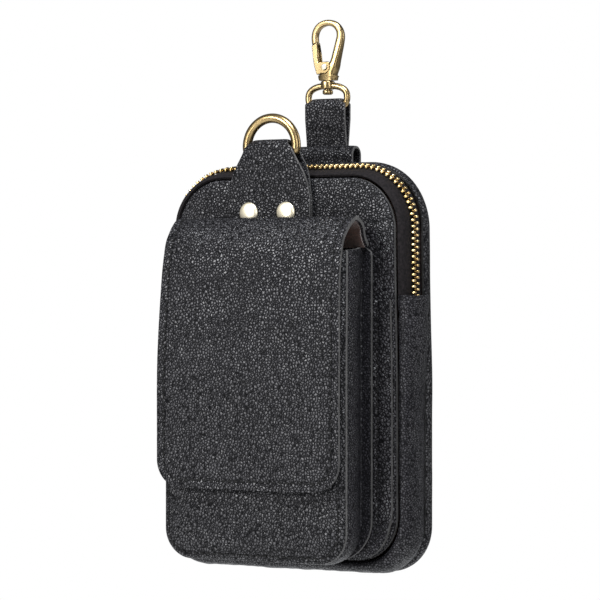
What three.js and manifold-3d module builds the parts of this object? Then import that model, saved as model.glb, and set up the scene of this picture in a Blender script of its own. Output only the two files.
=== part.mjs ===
// Leather waist bag with a flap pouch, a zipped main compartment, a belt loop and a swivel snap hook.
// Millimetres, +Z up, the wearer's side at +Y. The group's origin is the inside top of the hook, where
// the bag hangs. The shapes themselves are worked out from the bag's lowest point and the face of its
// front panel, and the whole group is moved to the hook at the end.
import * as THREE from "three";
import { mergeVertices } from "three/addons/utils/BufferGeometryUtils.js";
import Module from "manifold-3d";

const wasm = await Module();
wasm.setup();

// Clearance between pieces that touch, and the thickness of each leather
const GAP = 0.3;
const LEATHER = 1.8;
const FLAP_LEATHER = 1.6;
const LINING = 0.8;
const STRAP_LEATHER = 1.4;
const POCKET_LEATHER = 1.3;
const TRIM_LEATHER = 1.9;
const POUCH_LEATHER = 1.5;
const TAPE = 1.1;

// Main body
const PANEL_WIDTH = 108.8;
const PANEL_HEIGHT = 162.5;
const PANEL_TOP_RADIUS = 22;
const PANEL_BOTTOM_RADIUS = 19;
const TOP_RADIUS_GROWTH = 0.85;
const PANEL_DOME = 1;
const PANEL_ROLL = 1.4;
const TAPER = 0.02;
const TAPER_LOW = 70;
const TAPER_HIGH = 145;
const SIDE_REACH = 6.6;
const TOP_REACH = 7.4;
const FOOT_REACH = 5.5;
const GUSSET_PUFF = 3;
const PUFF_REACH = 30;
const BODY_DEPTH = 26;
const BACK_EDGE = 3.2;
const BACK_LIP = 6;
const ZIP_END_HEIGHT = 118;

// Slip pocket and trim on the front panel
const POCKET_DROP = 3.25;
const POCKET_MARGIN = 1.2;
const TRIM_TOP_HEIGHT = 20.6;
const TRIM_CURL = 3.8;
const TRIM_CURL_START = 0.84;
const TRIM_FOOT = 2.6;

// Zip
const ZIP_WIDTH = 15;
const CHAIN_PLACE = 0.59;
const CHAIN_WIDTH = 5.2;
const CHAIN_THICKNESS = 1.5;
const CHAIN_TUCK = 4;
const TOOTH_PITCH = 2.54;
const TOOTH_GAP_WIDTH = 0.8;
const TOOTH_GAP_HEIGHT = 0.7;
const SLIDER_LENGTH = 9;
const SLIDER_WIDTH = 8;
const SLIDER_THICKNESS = 2.4;
const SLIDER_LIFT = 10;

// Pouch
const POUCH_WIDTH = 88.4;
const POUCH_TOP_HEIGHT = 136.7;
const POUCH_TOP_RISE = 1.5;
const POUCH_DEPTH = 19.2;
const POUCH_RADIUS = 13;
const POUCH_DOME = 4.4;
const POUCH_WAIST = 3.7;
const POUCH_LEAN = 2.5;
const POUCH_SQUEEZE = 0.025;
const LEAN_START_HEIGHT = 85;
const FLANGE_WIDTH = 5.2;
const FLANGE_LIFT = 3.4;

// Flap
const FLAP_WIDTH = 89;
const FLAP_ROOT_WIDTH = 76;
const FLAP_ROOT_LENGTH = 19.5;
const FLAP_ARCH = 14.3;
const FLAP_DROP = 115;
const FLAP_RADIUS = 12;
const FLAP_CROWN = 0.7;
const LINING_MARGIN = 1.2;

// Ring tab, its D-ring and rivets
const TAB_WIDTH = 41;
const TAB_FOOT_RISE = 0.44;
const TAB_TOP_HEIGHT = 185;
const TAB_OFFSET = -5;
const D_WIRE = 4.1;
const D_WIDTH = 24.3;
const D_LEG = 3;
const D_CORNER = 2.6;
const D_SLACK = 2.5;
const RING_FORWARD = 1;
const RIVET_DIAMETER = 9;
const RIVET_HEIGHT = 1.8;
const RIVET_SPACING = 18.4;
const RIVET_RISE = 10.5;

// Belt loop and hook strap
const LOOP_WIDTH = 36;
const LOOP_TOP_HEIGHT = 183.5;
const LOOP_DEPTH = 8.8;
const LOOP_FRONT_LENGTH = 40;
const LOOP_BACK_LENGTH = 124;
const LOOP_HEM = 14;
const LOOP_RAMP = 13;
const STRAP_WIDTH = 20;
const STRAP_FOLD_WIDTH = 15.4;
const STRAP_SHOULDER = 2.4;
const STRAP_TOP_HEIGHT = 204.8;
const STRAP_OVERLAP = 33.5;

// Swivel eye and snap hook
const EYE_WIRE = 2.9;
const EYE_WIDTH = 22.4;
const EYE_HEIGHT = 13.4;
const EYE_POWER = 2.5;
const EYE_SLACK = 2;
const BARREL_DIAMETER = 6.2;
const BARREL_HEIGHT = 3.6;
const STUD_DIAMETER = 2.6;
const BUTTON_DIAMETER = 4.6;
const BUTTON_HEIGHT = 2;
const HOOK_WIDTH = 16.6;
const HOOK_HEIGHT = 27;
const HOOK_BAR = 2.9;
const HOOK_THICKNESS = 3.4;
const HOOK_POWER = 4;
const PIVOT_RISE = 5.9;
const PIVOT_OFFSET = -0.4;
const PIN_DIAMETER = 1.6;
const PIN_HEAD_DIAMETER = 2.8;
const PIN_HEAD_HEIGHT = 0.5;
const TONGUE_THICKNESS = 2.2;
const TONGUE_RADIUS = 2.2;
const KNUCKLE_RADIUS = 2.9;
const KNUCKLE_THICKNESS = 5.2;
const GATE_BAR = 2.8;
const GATE_WEB = 1;
const GATE_SEAT = 0.86;
const KNUCKLE_START = -110;
const KNUCKLE_END = 55;
const KNUCKLE_STEPS = 10;
const SWELL_TENSION = 0.3;
const CUT_LENGTH = 4 * HOOK_THICKNESS;
const NOSE_REACH = 12.1;

// Places that follow from the sizes
const PANEL_BOTTOM = FOOT_REACH;
const PANEL_TOP = PANEL_BOTTOM + PANEL_HEIGHT;
const PANEL_FACE = -PANEL_DOME;
const TRIM_FACE = PANEL_FACE - GAP - TRIM_LEATHER;
const FLANGE_FACE = TRIM_FACE - GAP - POUCH_LEATHER;
const POUCH_BOTTOM = PANEL_BOTTOM;
const POUCH_FACE = FLANGE_FACE - POUCH_DEPTH;
const BACK_FACE = BODY_DEPTH + GAP + LEATHER;
const TAB_STACK = 2 * (STRAP_LEATHER + GAP);
const FLAP_FACE = POUCH_FACE - POUCH_DOME - 2 * GAP - LINING - FLAP_LEATHER;
const LOOP_FRONT = BACK_FACE + GAP;
const LOOP_BACK = LOOP_FRONT + LOOP_DEPTH;
const STRAP_FRONT = LOOP_BACK + GAP;
const STRAP_BACK = STRAP_FRONT + 2 * STRAP_LEATHER + GAP;
const HOOK_PLANE = (STRAP_FRONT + STRAP_BACK) / 2;
const EYE_BOTTOM = STRAP_TOP_HEIGHT - STRAP_LEATHER - EYE_SLACK - EYE_WIRE;
const EYE_TOP = EYE_BOTTOM + EYE_HEIGHT;
const HOOK_BASE = EYE_TOP + 3 * GAP;
const HOOK_INNER_TOP = HOOK_BASE + HOOK_HEIGHT - HOOK_BAR;

// How the front panel's face falls back towards its edge, and how the pouch's front does
const PANEL_CONTOUR = [
  { inset: 0, rise: 0 },
  { inset: 0.1, rise: 0.55 },
  { inset: 0.31, rise: 0.8 },
  { inset: 0.62, rise: 0.94 },
  { inset: 1, rise: 1 },
];
const PANEL_CONTOUR_WIDTH = 16;
const POUCH_CONTOUR = [
  { inset: 0, rise: 0 },
  { inset: 0.15, rise: 0.35 },
  { inset: 0.45, rise: 0.74 },
  { inset: 1, rise: 1 },
];
const POUCH_CONTOUR_WIDTH = 16;

// Columns of the layers on the front panel, as shares of their half width
const LAYER_COLUMNS = [1, 0.975, 0.93, 0.85, 0.7, 0.35];
// Sections across the main body's walls, from front to back. Side, top and foot are how far the wall
// stands out from the front panel's edge, as shares of the reaches, back is a share of the body's depth.
const FRONT_GUSSET_SECTION = [
  { side: 0.1, foot: 0.1, back: 0.115 },
  { side: 0.2, foot: 0.2, back: 0.05 },
  { side: 0.44, foot: 0.44, back: 0.027 },
  { side: 0.73, foot: 0.73, back: 0.085 },
  { side: 0.92, foot: 0.92, back: 0.208 },
  { side: 1, foot: 1, back: 0.37 },
  { side: 0.975, foot: 0.975, back: 0.508 },
  { side: 0.84, foot: 0.84, back: 0.638 },
];
const BACK_GUSSET_SECTION = [
  { side: 0.85, top: 0.87, foot: 0.8, back: 0.662 },
  { side: 0.97, top: 0.96, foot: 0.95, back: 0.708 },
  { side: 1, top: 1, foot: 1, back: 0.785 },
  { side: 0.91, top: 0.94, foot: 0.9, back: 0.869 },
  { side: 0.74, top: 0.78, foot: 0.72, back: 0.946 },
  { side: 0.515, top: 0.59, foot: 0.5, back: 1 },
];
const ZIP_SECTION = [
  { along: 0, side: 0.227, top: 0.19, back: 0.066 },
  { along: 0.122, side: 0.52, top: 0.29, back: 0.108 },
  { along: 0.268, side: 0.64, top: 0.41, back: 0.19 },
  { along: 0.456, side: 0.66, top: 0.52, back: 0.31 },
  { along: 0.628, side: 0.655, top: 0.6, back: 0.415 },
  { along: 0.854, side: 0.65, top: 0.71, back: 0.555 },
  { along: 1, side: 0.65, top: 0.79, back: 0.646 },
];
const POUCH_GUSSET_SECTION = [
  { waist: 0.1, depth: 0.095 },
  { waist: -0.14, depth: 0.3 },
  { waist: -0.08, depth: 0.52 },
  { waist: 0.22, depth: 0.74 },
  { waist: 0.62, depth: 0.88 },
];

// The flap from its sewn root up over the arch and down the front. Reach is a share of the way from
// the panel to the flap's face, rise a share of the arch above the pouch, drop a share of the fall.
const FLAP_ROOT = [
  { rise: -1.22, stack: 0 },
  { rise: -0.25, stack: 0.15 },
  { rise: 0.12, stack: 0.75 },
  { rise: 0.44, stack: 1.7 },
];
const FLAP_TOP = [
  { reach: 0.27, rise: 0.72 },
  { reach: 0.38, rise: 0.93 },
  { reach: 0.52, rise: 1 },
  { reach: 0.67, rise: 0.83 },
  { reach: 0.818, rise: 0.53 },
  { reach: 0.907, rise: 0.23 },
];
const FLAP_FRONT = [
  { reach: 0.977, drop: 0.174 },
  { reach: 1, drop: 0.25 },
  { reach: 1, drop: 0.4 },
  { reach: 1, drop: 0.6 },
  { reach: 1, drop: 0.8 },
  { reach: 1, drop: 1 },
];
const POCKET_TOP_HEIGHT = POUCH_TOP_HEIGHT + FLAP_ROOT[0].rise * FLAP_ARCH - POCKET_DROP;
const TAB_LENGTH = TAB_TOP_HEIGHT - POUCH_TOP_HEIGHT - TAB_FOOT_RISE * FLAP_ARCH;

// Width of the ring tab by depth below its fold
const TAB_SHAPE = [
  { depth: 0, width: 0.42 },
  { depth: 0.05, width: 0.49 },
  { depth: 0.087, width: 0.566 },
  { depth: 0.145, width: 0.62 },
  { depth: 0.335, width: 0.846 },
  { depth: 0.455, width: 0.94 },
  { depth: 0.6, width: 1 },
  { depth: 1, width: 1 },
];

// The hook's bar from its foot round to its nose. Across is a share of the hook's half width, rise of
// its height, bar and thick of the bar's own half width and half thickness.
const HOOK_ROWS = [
  { across: 0.05, rise: 0, bar: 2.9, thick: 1.5 },
  { across: 0.045, rise: 0.075, bar: 3.25, thick: 1.65 },
  { across: 0.12, rise: 0.15, bar: 3.1, thick: 1.7 },
  { across: 0.38, rise: 0.23, bar: 1.72, thick: 1.65 },
  { across: 0.49, rise: 0.315, bar: 1.34, thick: 1.47 },
  { across: 0.6, rise: 0.444, bar: 1.31, thick: 1.29 },
  { across: 0.735, rise: 0.61, bar: 1.28, thick: 1.09 },
  { across: 0.795, rise: 0.726, bar: 1.17, thick: 1 },
  { across: 0.71, rise: 0.826, bar: 1.03, thick: 0.97 },
  { across: 0.445, rise: 0.911, bar: 0.97, thick: 0.94 },
  { across: 0.02, rise: 0.943, bar: 0.93, thick: 0.94 },
  { across: -0.41, rise: 0.908, bar: 0.97, thick: 0.94 },
  { across: -0.665, rise: 0.826, bar: 1, thick: 0.94 },
  { across: -0.76, rise: 0.722, bar: 1, thick: 0.94 },
];
// The gate's face. Along is a share of the way from the pin to the nose, across of the gate's width.
const GATE_OUTER = [
  { along: 1, across: -0.55 },
  { along: 0.33, across: -1.5 },
  { along: -0.09, across: -1.8 },
];
const GATE_INNER = [
  { along: 0.3, across: -0.68 },
  { along: 1, across: 0.5 },
];
// The inner side of the channel inside the gate, in the same shares
const CHANNEL_INNER = [
  { along: -0.5, across: -0.5 },
  { along: 0, across: 2 },
  { along: GATE_SEAT, across: 1 },
];
// The room cut out of the hook's foot under the gate's tail, as shares of the knuckle's radius
const SEAT = [
  { across: -2.4, rise: -1.5 },
  { across: -0.3, rise: -1.12 },
  { across: 0, rise: 0 },
  { across: -2.4, rise: 1.5 },
];

const SIDE_STEPS = 6;
const ARC_STEPS = 6;
const FOLD_STEPS = 8;
const WIRE_SIDES = 8;
const BAR_SIDES = 12;
const ROUND_SIDES = 16;
const EYE_STEPS = 24;

// Materials
const leatherLook = new THREE.MeshStandardMaterial({ color: 0x26232a, roughness: 0.55, metalness: 0 });
const smoothLook = new THREE.MeshStandardMaterial({ color: 0x2b2830, roughness: 0.5, metalness: 0 });
const tapeLook = new THREE.MeshStandardMaterial({ color: 0x1c1719, roughness: 0.9, metalness: 0 });
const suedeLook = new THREE.MeshStandardMaterial({ color: 0x2c1711, roughness: 1, metalness: 0 });
const brassLook = new THREE.MeshStandardMaterial({ color: 0x9c7c3e, roughness: 0.35, metalness: 1 });
const paleBrassLook = new THREE.MeshStandardMaterial({ color: 0xd9c48c, roughness: 0.3, metalness: 1 });

const mix = THREE.MathUtils.lerp;
const at = (x, y, z) => new THREE.Vector3(x, y, z);

// A value from a table by straight lines between its rows
function lookUp(rows, key, value, column) {
  const next = rows.findIndex((row) => row[key] >= value);
  if (next === 0) return rows[0][column];
  if (next < 0) return rows[rows.length - 1][column];
  const low = rows[next - 1];
  const high = rows[next];
  return mix(low[column], high[column], (value - low[key]) / (high[key] - low[key]));
}

// A closed body from vertices and faces, turned so that its faces point out
function bodyOf(points, faces) {
  const volume = faces.reduce((sum, [a, b, c]) => {
    const normal = new THREE.Vector3().crossVectors(points[b], points[c]);
    return sum + points[a].dot(normal);
  }, 0);
  const order = volume < 0 ? ([a, b, c]) => [a, c, b] : (face) => face;
  const geometry = new THREE.BufferGeometry().setFromPoints(points);
  geometry.setIndex(faces.flatMap(order));
  geometry.computeVertexNormals();
  return geometry;
}

// Triangles over one closed ring of points, in the ring's own direction
function capFaces(points, ring) {
  const normal = at(0, 0, 0);
  ring.forEach((index, k) => {
    normal.add(points[index].clone().cross(points[ring[(k + 1) % ring.length]]));
  });
  const size = [Math.abs(normal.x), Math.abs(normal.y), Math.abs(normal.z)];
  const drop = size.indexOf(Math.max(...size));
  const [u, v] = [["y", "z"], ["z", "x"], ["x", "y"]][drop];
  const flat = ring.map((index) => new THREE.Vector2(points[index][u], points[index][v]));
  const triangles = THREE.ShapeUtils.triangulateShape(flat, []);
  const turned = ([a, b, c]) => THREE.ShapeUtils.area([flat[a], flat[b], flat[c]]) > 0;
  const positive = THREE.ShapeUtils.area(flat) > 0;
  return triangles.map((face) => {
    const [a, b, c] = turned(face) === positive ? face : [face[0], face[2], face[1]];
    return [ring[a], ring[b], ring[c]];
  });
}

// Triangles over the end of a wall, whose ring runs out along one side and back along the other
function stripFaces(points, ring) {
  const faces = [];
  for (let j = 0; j < ring.length / 2 - 1; j += 1) {
    const far = ring.length - 1 - j;
    faces.push([ring[j], ring[j + 1], ring[far - 1]]);
    faces.push([ring[j], ring[far - 1], ring[far]]);
  }
  return faces;
}

// A body run through rings of equal count, closed on itself or capped at both ends
function sweptBody(rings, closed, cap = capFaces) {
  const count = rings[0].length;
  const points = rings.flat();
  const faces = [];
  const spans = closed ? rings.length : rings.length - 1;
  for (let i = 0; i < spans; i += 1) {
    const here = i * count;
    const next = ((i + 1) % rings.length) * count;
    for (let j = 0; j < count; j += 1) {
      const k = (j + 1) % count;
      faces.push([here + j, next + j, next + k]);
      faces.push([here + j, next + k, here + k]);
    }
  }
  if (!closed) {
    const first = rings[0].map((_, j) => j);
    const last = first.map((j) => (rings.length - 1) * count + j);
    faces.push(...cap(points, first));
    faces.push(...cap(points, last).map(([a, b, c]) => [a, c, b]));
  }
  return bodyOf(points, faces);
}

// The grid moved along its own surface normals
function movedGrid(grid, distance, loop) {
  const rows = grid.length;
  return grid.map((row, i) => {
    const before = loop ? grid[(i + rows - 1) % rows] : grid[Math.max(i - 1, 0)];
    const after = loop ? grid[(i + 1) % rows] : grid[Math.min(i + 1, rows - 1)];
    return row.map((point, j) => {
      const along = after[j].clone().sub(before[j]);
      const left = row[Math.max(j - 1, 0)];
      const right = row[Math.min(j + 1, row.length - 1)];
      const normal = along.cross(right.clone().sub(left)).normalize();
      return point.clone().addScaledVector(normal, distance);
    });
  });
}

// A wall of even thickness behind a grid of points, closed round all its edges
function wallBody(grid, thickness, loop) {
  const inner = movedGrid(grid, thickness, loop);
  const rings = grid.map((row, i) => [...row, ...inner[i].slice().reverse()]);
  return sweptBody(rings, loop, stripFaces);
}

// A dished sheet from nested outlines, its wall measured along Y
function dishBody(outlines, thickness) {
  const back = outlines.map((points) => points.map((p) => p.clone().add(at(0, thickness, 0))));
  return sweptBody([...outlines.slice().reverse(), ...back], false);
}

// A round wire or bar through stations in an X-Z plane, each with its own half sizes
function barBody(stations, sides, power, closed) {
  const rings = stations.map(({ x, y, z, ux, uz, a, b }) =>
    Array.from({ length: sides }, (_, k) => {
      const angle = (2 * Math.PI * k) / sides;
      const across = a * Math.sign(Math.cos(angle)) * Math.abs(Math.cos(angle)) ** (2 / power);
      const deep = b * Math.sign(Math.sin(angle)) * Math.abs(Math.sin(angle)) ** (2 / power);
      return at(x + ux * across, y + deep, z + uz * across);
    }),
  );
  return sweptBody(rings, closed);
}

// Stations with the direction across a path of points in an X-Z plane
function stationsOf(path, closed, extra) {
  const count = path.length;
  return path.map((p, i) => {
    const before = closed ? path[(i + count - 1) % count] : path[Math.max(i - 1, 0)];
    const after = closed ? path[(i + 1) % count] : path[Math.min(i + 1, count - 1)];
    const length = Math.hypot(after.x - before.x, after.z - before.z);
    return { ...p, ux: (after.z - before.z) / length, uz: (before.x - after.x) / length, ...extra };
  });
}

function solidOf(geometry) {
  const bare = geometry.clone();
  bare.deleteAttribute("normal");
  bare.deleteAttribute("uv");
  const merged = mergeVertices(bare, 1e-4);
  const mesh = new wasm.Mesh({
    numProp: 3,
    vertProperties: merged.attributes.position.array,
    triVerts: new Uint32Array(merged.index.array),
  });
  return new wasm.Manifold(mesh);
}

function geometryOf(solid) {
  const mesh = solid.getMesh();
  const geometry = new THREE.BufferGeometry();
  geometry.setAttribute("position", new THREE.BufferAttribute(mesh.vertProperties, 3));
  geometry.setIndex(new THREE.BufferAttribute(mesh.triVerts, 1));
  geometry.computeVertexNormals();
  return geometry;
}

function piece(name, geometry, look) {
  const mesh = new THREE.Mesh(geometry, look);
  mesh.name = name;
  return mesh;
}

// Points of a U in X-Z from its right end round its closed side to its left end. A base above the
// ends makes an arch.
function uPoints({ half, end, base, radius, sideSteps = SIDE_STEPS, arcSteps = ARC_STEPS }) {
  const up = Math.sign(base - end);
  const turn = base - up * radius;
  const right = [];
  for (let k = 0; k < sideSteps; k += 1) right.push([half, mix(end, turn, k / sideSteps)]);
  for (let k = 0; k <= arcSteps; k += 1) {
    const angle = ((k / arcSteps) * Math.PI) / 2;
    right.push([half - radius + radius * Math.cos(angle), turn + up * radius * Math.sin(angle)]);
  }
  const left = right.map(([x, z]) => [-x, z]).reverse();
  return [...right, [0, base], ...left];
}

// A closed outline: a U below and an arch above that share their ends
function outlinePoints({ half, bottom, top, bottomRadius, topRadius, middle }) {
  const lower = uPoints({ half, end: middle, base: bottom, radius: bottomRadius });
  const upper = uPoints({ half, end: middle, base: top, radius: topRadius });
  return [...upper, ...lower.slice(1, -1).reverse()];
}

// The main body's outline at distances out from the front panel's edge. Below zero they lie inside it.
function bodyOutline({ side, top = side, foot = side }) {
  return {
    half: PANEL_WIDTH / 2 + side,
    bottom: PANEL_BOTTOM - foot,
    top: PANEL_TOP + top,
    bottomRadius: PANEL_BOTTOM_RADIUS + Math.min(foot, 0),
    topRadius: PANEL_TOP_RADIUS + (top < 0 ? top : TOP_RADIUS_GROWTH * top),
    middle: ZIP_END_HEIGHT,
  };
}

// The body narrows a little towards its top
function widthShare(z) {
  return 1 - TAPER * THREE.MathUtils.smoothstep(z, TAPER_LOW, TAPER_HIGH);
}

function bodyPoint(x, y, z) {
  return at(x * widthShare(z), y, z);
}

function bodyRing(reach, y) {
  return outlinePoints(bodyOutline(reach)).map(([x, z]) => bodyPoint(x, y, z));
}

// How far a point lies inside the front panel's edge
function panelInset(x, z) {
  const below = z < ZIP_END_HEIGHT;
  const radius = below ? PANEL_BOTTOM_RADIUS : PANEL_TOP_RADIUS;
  const acrossCorner = Math.abs(x) / widthShare(z) - (PANEL_WIDTH / 2 - radius);
  const upCorner = below ? PANEL_BOTTOM + radius - z : z - (PANEL_TOP - radius);
  const corner = Math.hypot(Math.max(acrossCorner, 0), Math.max(upCorner, 0));
  return radius - corner - Math.min(Math.max(acrossCorner, upCorner), 0);
}

function panelFaceAt(inset) {
  const rise = lookUp(PANEL_CONTOUR, "inset", inset / PANEL_CONTOUR_WIDTH, "rise");
  return mix(PANEL_ROLL, PANEL_FACE, rise);
}

function frontPanel() {
  const rings = PANEL_CONTOUR.map(({ inset }) => {
    const depth = inset * PANEL_CONTOUR_WIDTH;
    return bodyRing({ side: -depth }, panelFaceAt(depth));
  });
  return piece("front_panel", dishBody(rings, LEATHER), leatherLook);
}

// A layer that lies on the front panel between a lower and an upper edge
function panelLayer(name, lowEdge, highEdge, thickness, rows) {
  const shares = [...LAYER_COLUMNS.map((c) => -c), 0, ...LAYER_COLUMNS.slice().reverse()];
  const grid = [];
  for (let i = 0; i <= rows; i += 1) {
    const level = mix(lowEdge(0), highEdge(0), i / rows);
    const corner = Math.max(PANEL_BOTTOM + PANEL_BOTTOM_RADIUS - level, 0);
    const round = Math.sqrt(PANEL_BOTTOM_RADIUS ** 2 - corner ** 2) - PANEL_BOTTOM_RADIUS;
    const half = (PANEL_WIDTH / 2 + round - POCKET_MARGIN) * widthShare(level);
    const row = shares.map((share) => {
      const x = share * half;
      const z = mix(lowEdge(x), highEdge(x), i / rows);
      return at(x, panelFaceAt(panelInset(x, z)) - GAP, z);
    });
    grid.push(row);
  }
  return piece(name, wallBody(grid, -thickness, false), leatherLook);
}

function trimEdge(x) {
  const past = Math.max(Math.abs(x) / (PANEL_WIDTH / 2) - TRIM_CURL_START, 0);
  return TRIM_TOP_HEIGHT + TRIM_CURL * (past / (1 - TRIM_CURL_START)) ** 2;
}

function frontLayers() {
  const slipPocket = panelLayer(
    "slip_pocket",
    (x) => trimEdge(x) + GAP,
    () => POCKET_TOP_HEIGHT,
    POCKET_LEATHER,
    3,
  );
  const trim = panelLayer("lower_trim", () => PANEL_BOTTOM + TRIM_FOOT, trimEdge, TRIM_LEATHER, 4);
  return [slipPocket, trim];
}

// The gusset swells outwards towards the zip ends that it covers
function puffAt(z) {
  return GUSSET_PUFF * Math.exp(-(((ZIP_END_HEIGHT - z) / PUFF_REACH) ** 2));
}

function frontGusset() {
  const rails = FRONT_GUSSET_SECTION.map(({ side, foot, back }) => {
    const shape = bodyOutline({ side: side * SIDE_REACH, foot: foot * FOOT_REACH });
    const points = uPoints({
      half: shape.half,
      end: ZIP_END_HEIGHT,
      base: shape.bottom,
      radius: shape.bottomRadius,
    });
    return points.map(([x, z]) => {
      const swell = Math.sign(x) * puffAt(z) * side;
      return bodyPoint(x + swell, back * BODY_DEPTH, z);
    });
  });
  const grid = rails[0].map((_, i) => rails.map((rail) => rail[i]));
  return piece("front_gusset", wallBody(grid, -LEATHER, false), smoothLook);
}

function backGusset() {
  const rails = BACK_GUSSET_SECTION.map(({ side, top, foot, back }) => {
    const reach = { side: side * SIDE_REACH, top: top * TOP_REACH, foot: foot * FOOT_REACH };
    return bodyRing(reach, back * BODY_DEPTH);
  });
  const lip = bodyRing({ side: BACK_EDGE - BACK_LIP }, BODY_DEPTH);
  const section = [...rails, lip];
  const grid = rails[0].map((_, i) => section.map((rail) => rail[i]));
  return piece("back_gusset", wallBody(grid, LEATHER, true), leatherLook);
}

function backPanel() {
  const rings = [0, 2].map((inset) => bodyRing({ side: BACK_EDGE - inset }, BODY_DEPTH + GAP));
  return piece("back_panel", dishBody(rings, LEATHER), leatherLook);
}

// The zip's surface runs from the panel's edge to the back gusset. Along is a share of its width.
function zipPlace(along) {
  return {
    side: lookUp(ZIP_SECTION, "along", along, "side") * SIDE_REACH,
    top: lookUp(ZIP_SECTION, "along", along, "top") * TOP_REACH,
    back: lookUp(ZIP_SECTION, "along", along, "back") * BODY_DEPTH,
  };
}

function zipTape(name, places) {
  const rails = places.map((along) => {
    const { side, top, back } = zipPlace(along);
    const shape = bodyOutline({ side, top });
    const end = ZIP_END_HEIGHT + GAP;
    return uPoints({ half: shape.half, end, base: shape.top, radius: shape.topRadius }).map(
      ([x, z]) => bodyPoint(x, back, z),
    );
  });
  const grid = rails[0].map((_, i) => rails.map((rail) => rail[i]));
  return piece(name, wallBody(grid, TAPE, false), tapeLook);
}

// The two tapes leave a gap under the chain
function zipTapes() {
  const middle = (2 * GAP) / ZIP_WIDTH;
  const front = ZIP_SECTION.map(({ along }) => along).filter((along) => along < CHAIN_PLACE - middle);
  const back = ZIP_SECTION.map(({ along }) => along).filter((along) => along > CHAIN_PLACE + 2 * middle);
  return [
    zipTape("zip_tape_front", [...front, CHAIN_PLACE - middle]),
    zipTape("zip_tape_back", [CHAIN_PLACE + middle, ...back]),
  ];
}

// One long edge of the chain, as a path round the top
function chainRail(along) {
  const { side, top, back } = zipPlace(along);
  const shape = bodyOutline({ side, top });
  const turn = shape.top - shape.topRadius;
  const inset = shape.half - shape.topRadius;
  const path = new THREE.Path();
  path.moveTo(shape.half, ZIP_END_HEIGHT - CHAIN_TUCK);
  path.lineTo(shape.half, turn);
  path.absarc(inset, turn, shape.topRadius, 0, Math.PI / 2);
  path.lineTo(-inset, shape.top);
  path.absarc(-inset, turn, shape.topRadius, Math.PI / 2, Math.PI);
  path.lineTo(-shape.half, ZIP_END_HEIGHT - CHAIN_TUCK);
  return { path, back };
}

// The interlocked teeth as one toothed chain that runs down into the gusset at both ends
function zipTeeth() {
  const reach = CHAIN_WIDTH / 2 / ZIP_WIDTH;
  const front = chainRail(CHAIN_PLACE - reach);
  const back = chainRail(CHAIN_PLACE + reach);
  const steps = 2 * Math.round(front.path.getLength() / TOOTH_PITCH);
  const rings = [];
  for (let k = 0; k <= steps; k += 1) {
    const tall = k % 2;
    const p = front.path.getPoint(k / steps);
    const q = back.path.getPoint(k / steps);
    const low = bodyPoint(p.x, front.back, p.y);
    const high = bodyPoint(q.x, back.back, q.y);
    const t = front.path.getTangent(k / steps);
    const across = high.clone().sub(low).normalize();
    const lift = across.clone().cross(at(t.x, 0, t.y)).normalize();
    const middle = low.add(high).multiplyScalar(0.5);
    const half = (CHAIN_WIDTH / 2) * (tall ? 1 : TOOTH_GAP_WIDTH);
    const height = GAP + CHAIN_THICKNESS * (tall ? 1 : TOOTH_GAP_HEIGHT);
    const corners = [
      [-half, GAP],
      [half, GAP],
      [half, height],
      [-half, height],
    ];
    rings.push(
      corners.map(([u, v]) => middle.clone().addScaledVector(across, u).addScaledVector(lift, v)),
    );
  }
  return piece("zip_teeth", sweptBody(rings, false), brassLook);
}

// A plain slider parked at the closed end of the zip, on the left
function zipSlider() {
  const plate = new THREE.Shape();
  plate.absellipse(0, 0, SLIDER_WIDTH / 2, SLIDER_LENGTH / 2, 0, 2 * Math.PI);
  const depth = SLIDER_THICKNESS;
  const geometry = new THREE.ExtrudeGeometry(plate, { depth, bevelEnabled: false, curveSegments: 8 });
  const { side, back } = zipPlace(CHAIN_PLACE);
  const height = ZIP_END_HEIGHT + SLIDER_LIFT;
  const slider = piece("zip_slider", geometry, brassLook);
  slider.rotation.set(Math.PI / 2, 0, 0);
  const turned = new THREE.Group();
  turned.rotation.z = -Math.PI / 2;
  turned.position.copy(bodyPoint(-PANEL_WIDTH / 2 - side, back, height));
  turned.position.x -= 3 * GAP + CHAIN_THICKNESS;
  turned.add(slider);
  return turned;
}

// The pouch leans back and narrows towards its top, and all of it beyond its depth leans alike
function leanAt(y, z) {
  const rise = THREE.MathUtils.smoothstep(z, LEAN_START_HEIGHT, POUCH_TOP_HEIGHT);
  return rise * THREE.MathUtils.clamp((FLANGE_FACE - y) / POUCH_DEPTH, 0, 1);
}

function pouchPoint(x, y, z) {
  const lean = leanAt(y, z);
  return at(x * (1 - POUCH_SQUEEZE * lean), y + POUCH_LEAN * lean, z);
}

function pouchRing(inset, y) {
  const shape = {
    half: POUCH_WIDTH / 2 - inset,
    bottom: POUCH_BOTTOM + inset,
    top: POUCH_TOP_HEIGHT - inset,
    bottomRadius: Math.max(POUCH_RADIUS - inset, 1),
    topRadius: 1,
    middle: POUCH_TOP_HEIGHT / 2,
  };
  return outlinePoints(shape).map(([x, z]) => pouchPoint(x, y, z));
}

function pouchFront() {
  const rings = POUCH_CONTOUR.map(({ inset, rise }) =>
    pouchRing(inset * POUCH_CONTOUR_WIDTH, POUCH_FACE - rise * POUCH_DOME),
  );
  return piece("pouch_front", dishBody(rings, POUCH_LEATHER), leatherLook);
}

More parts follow.
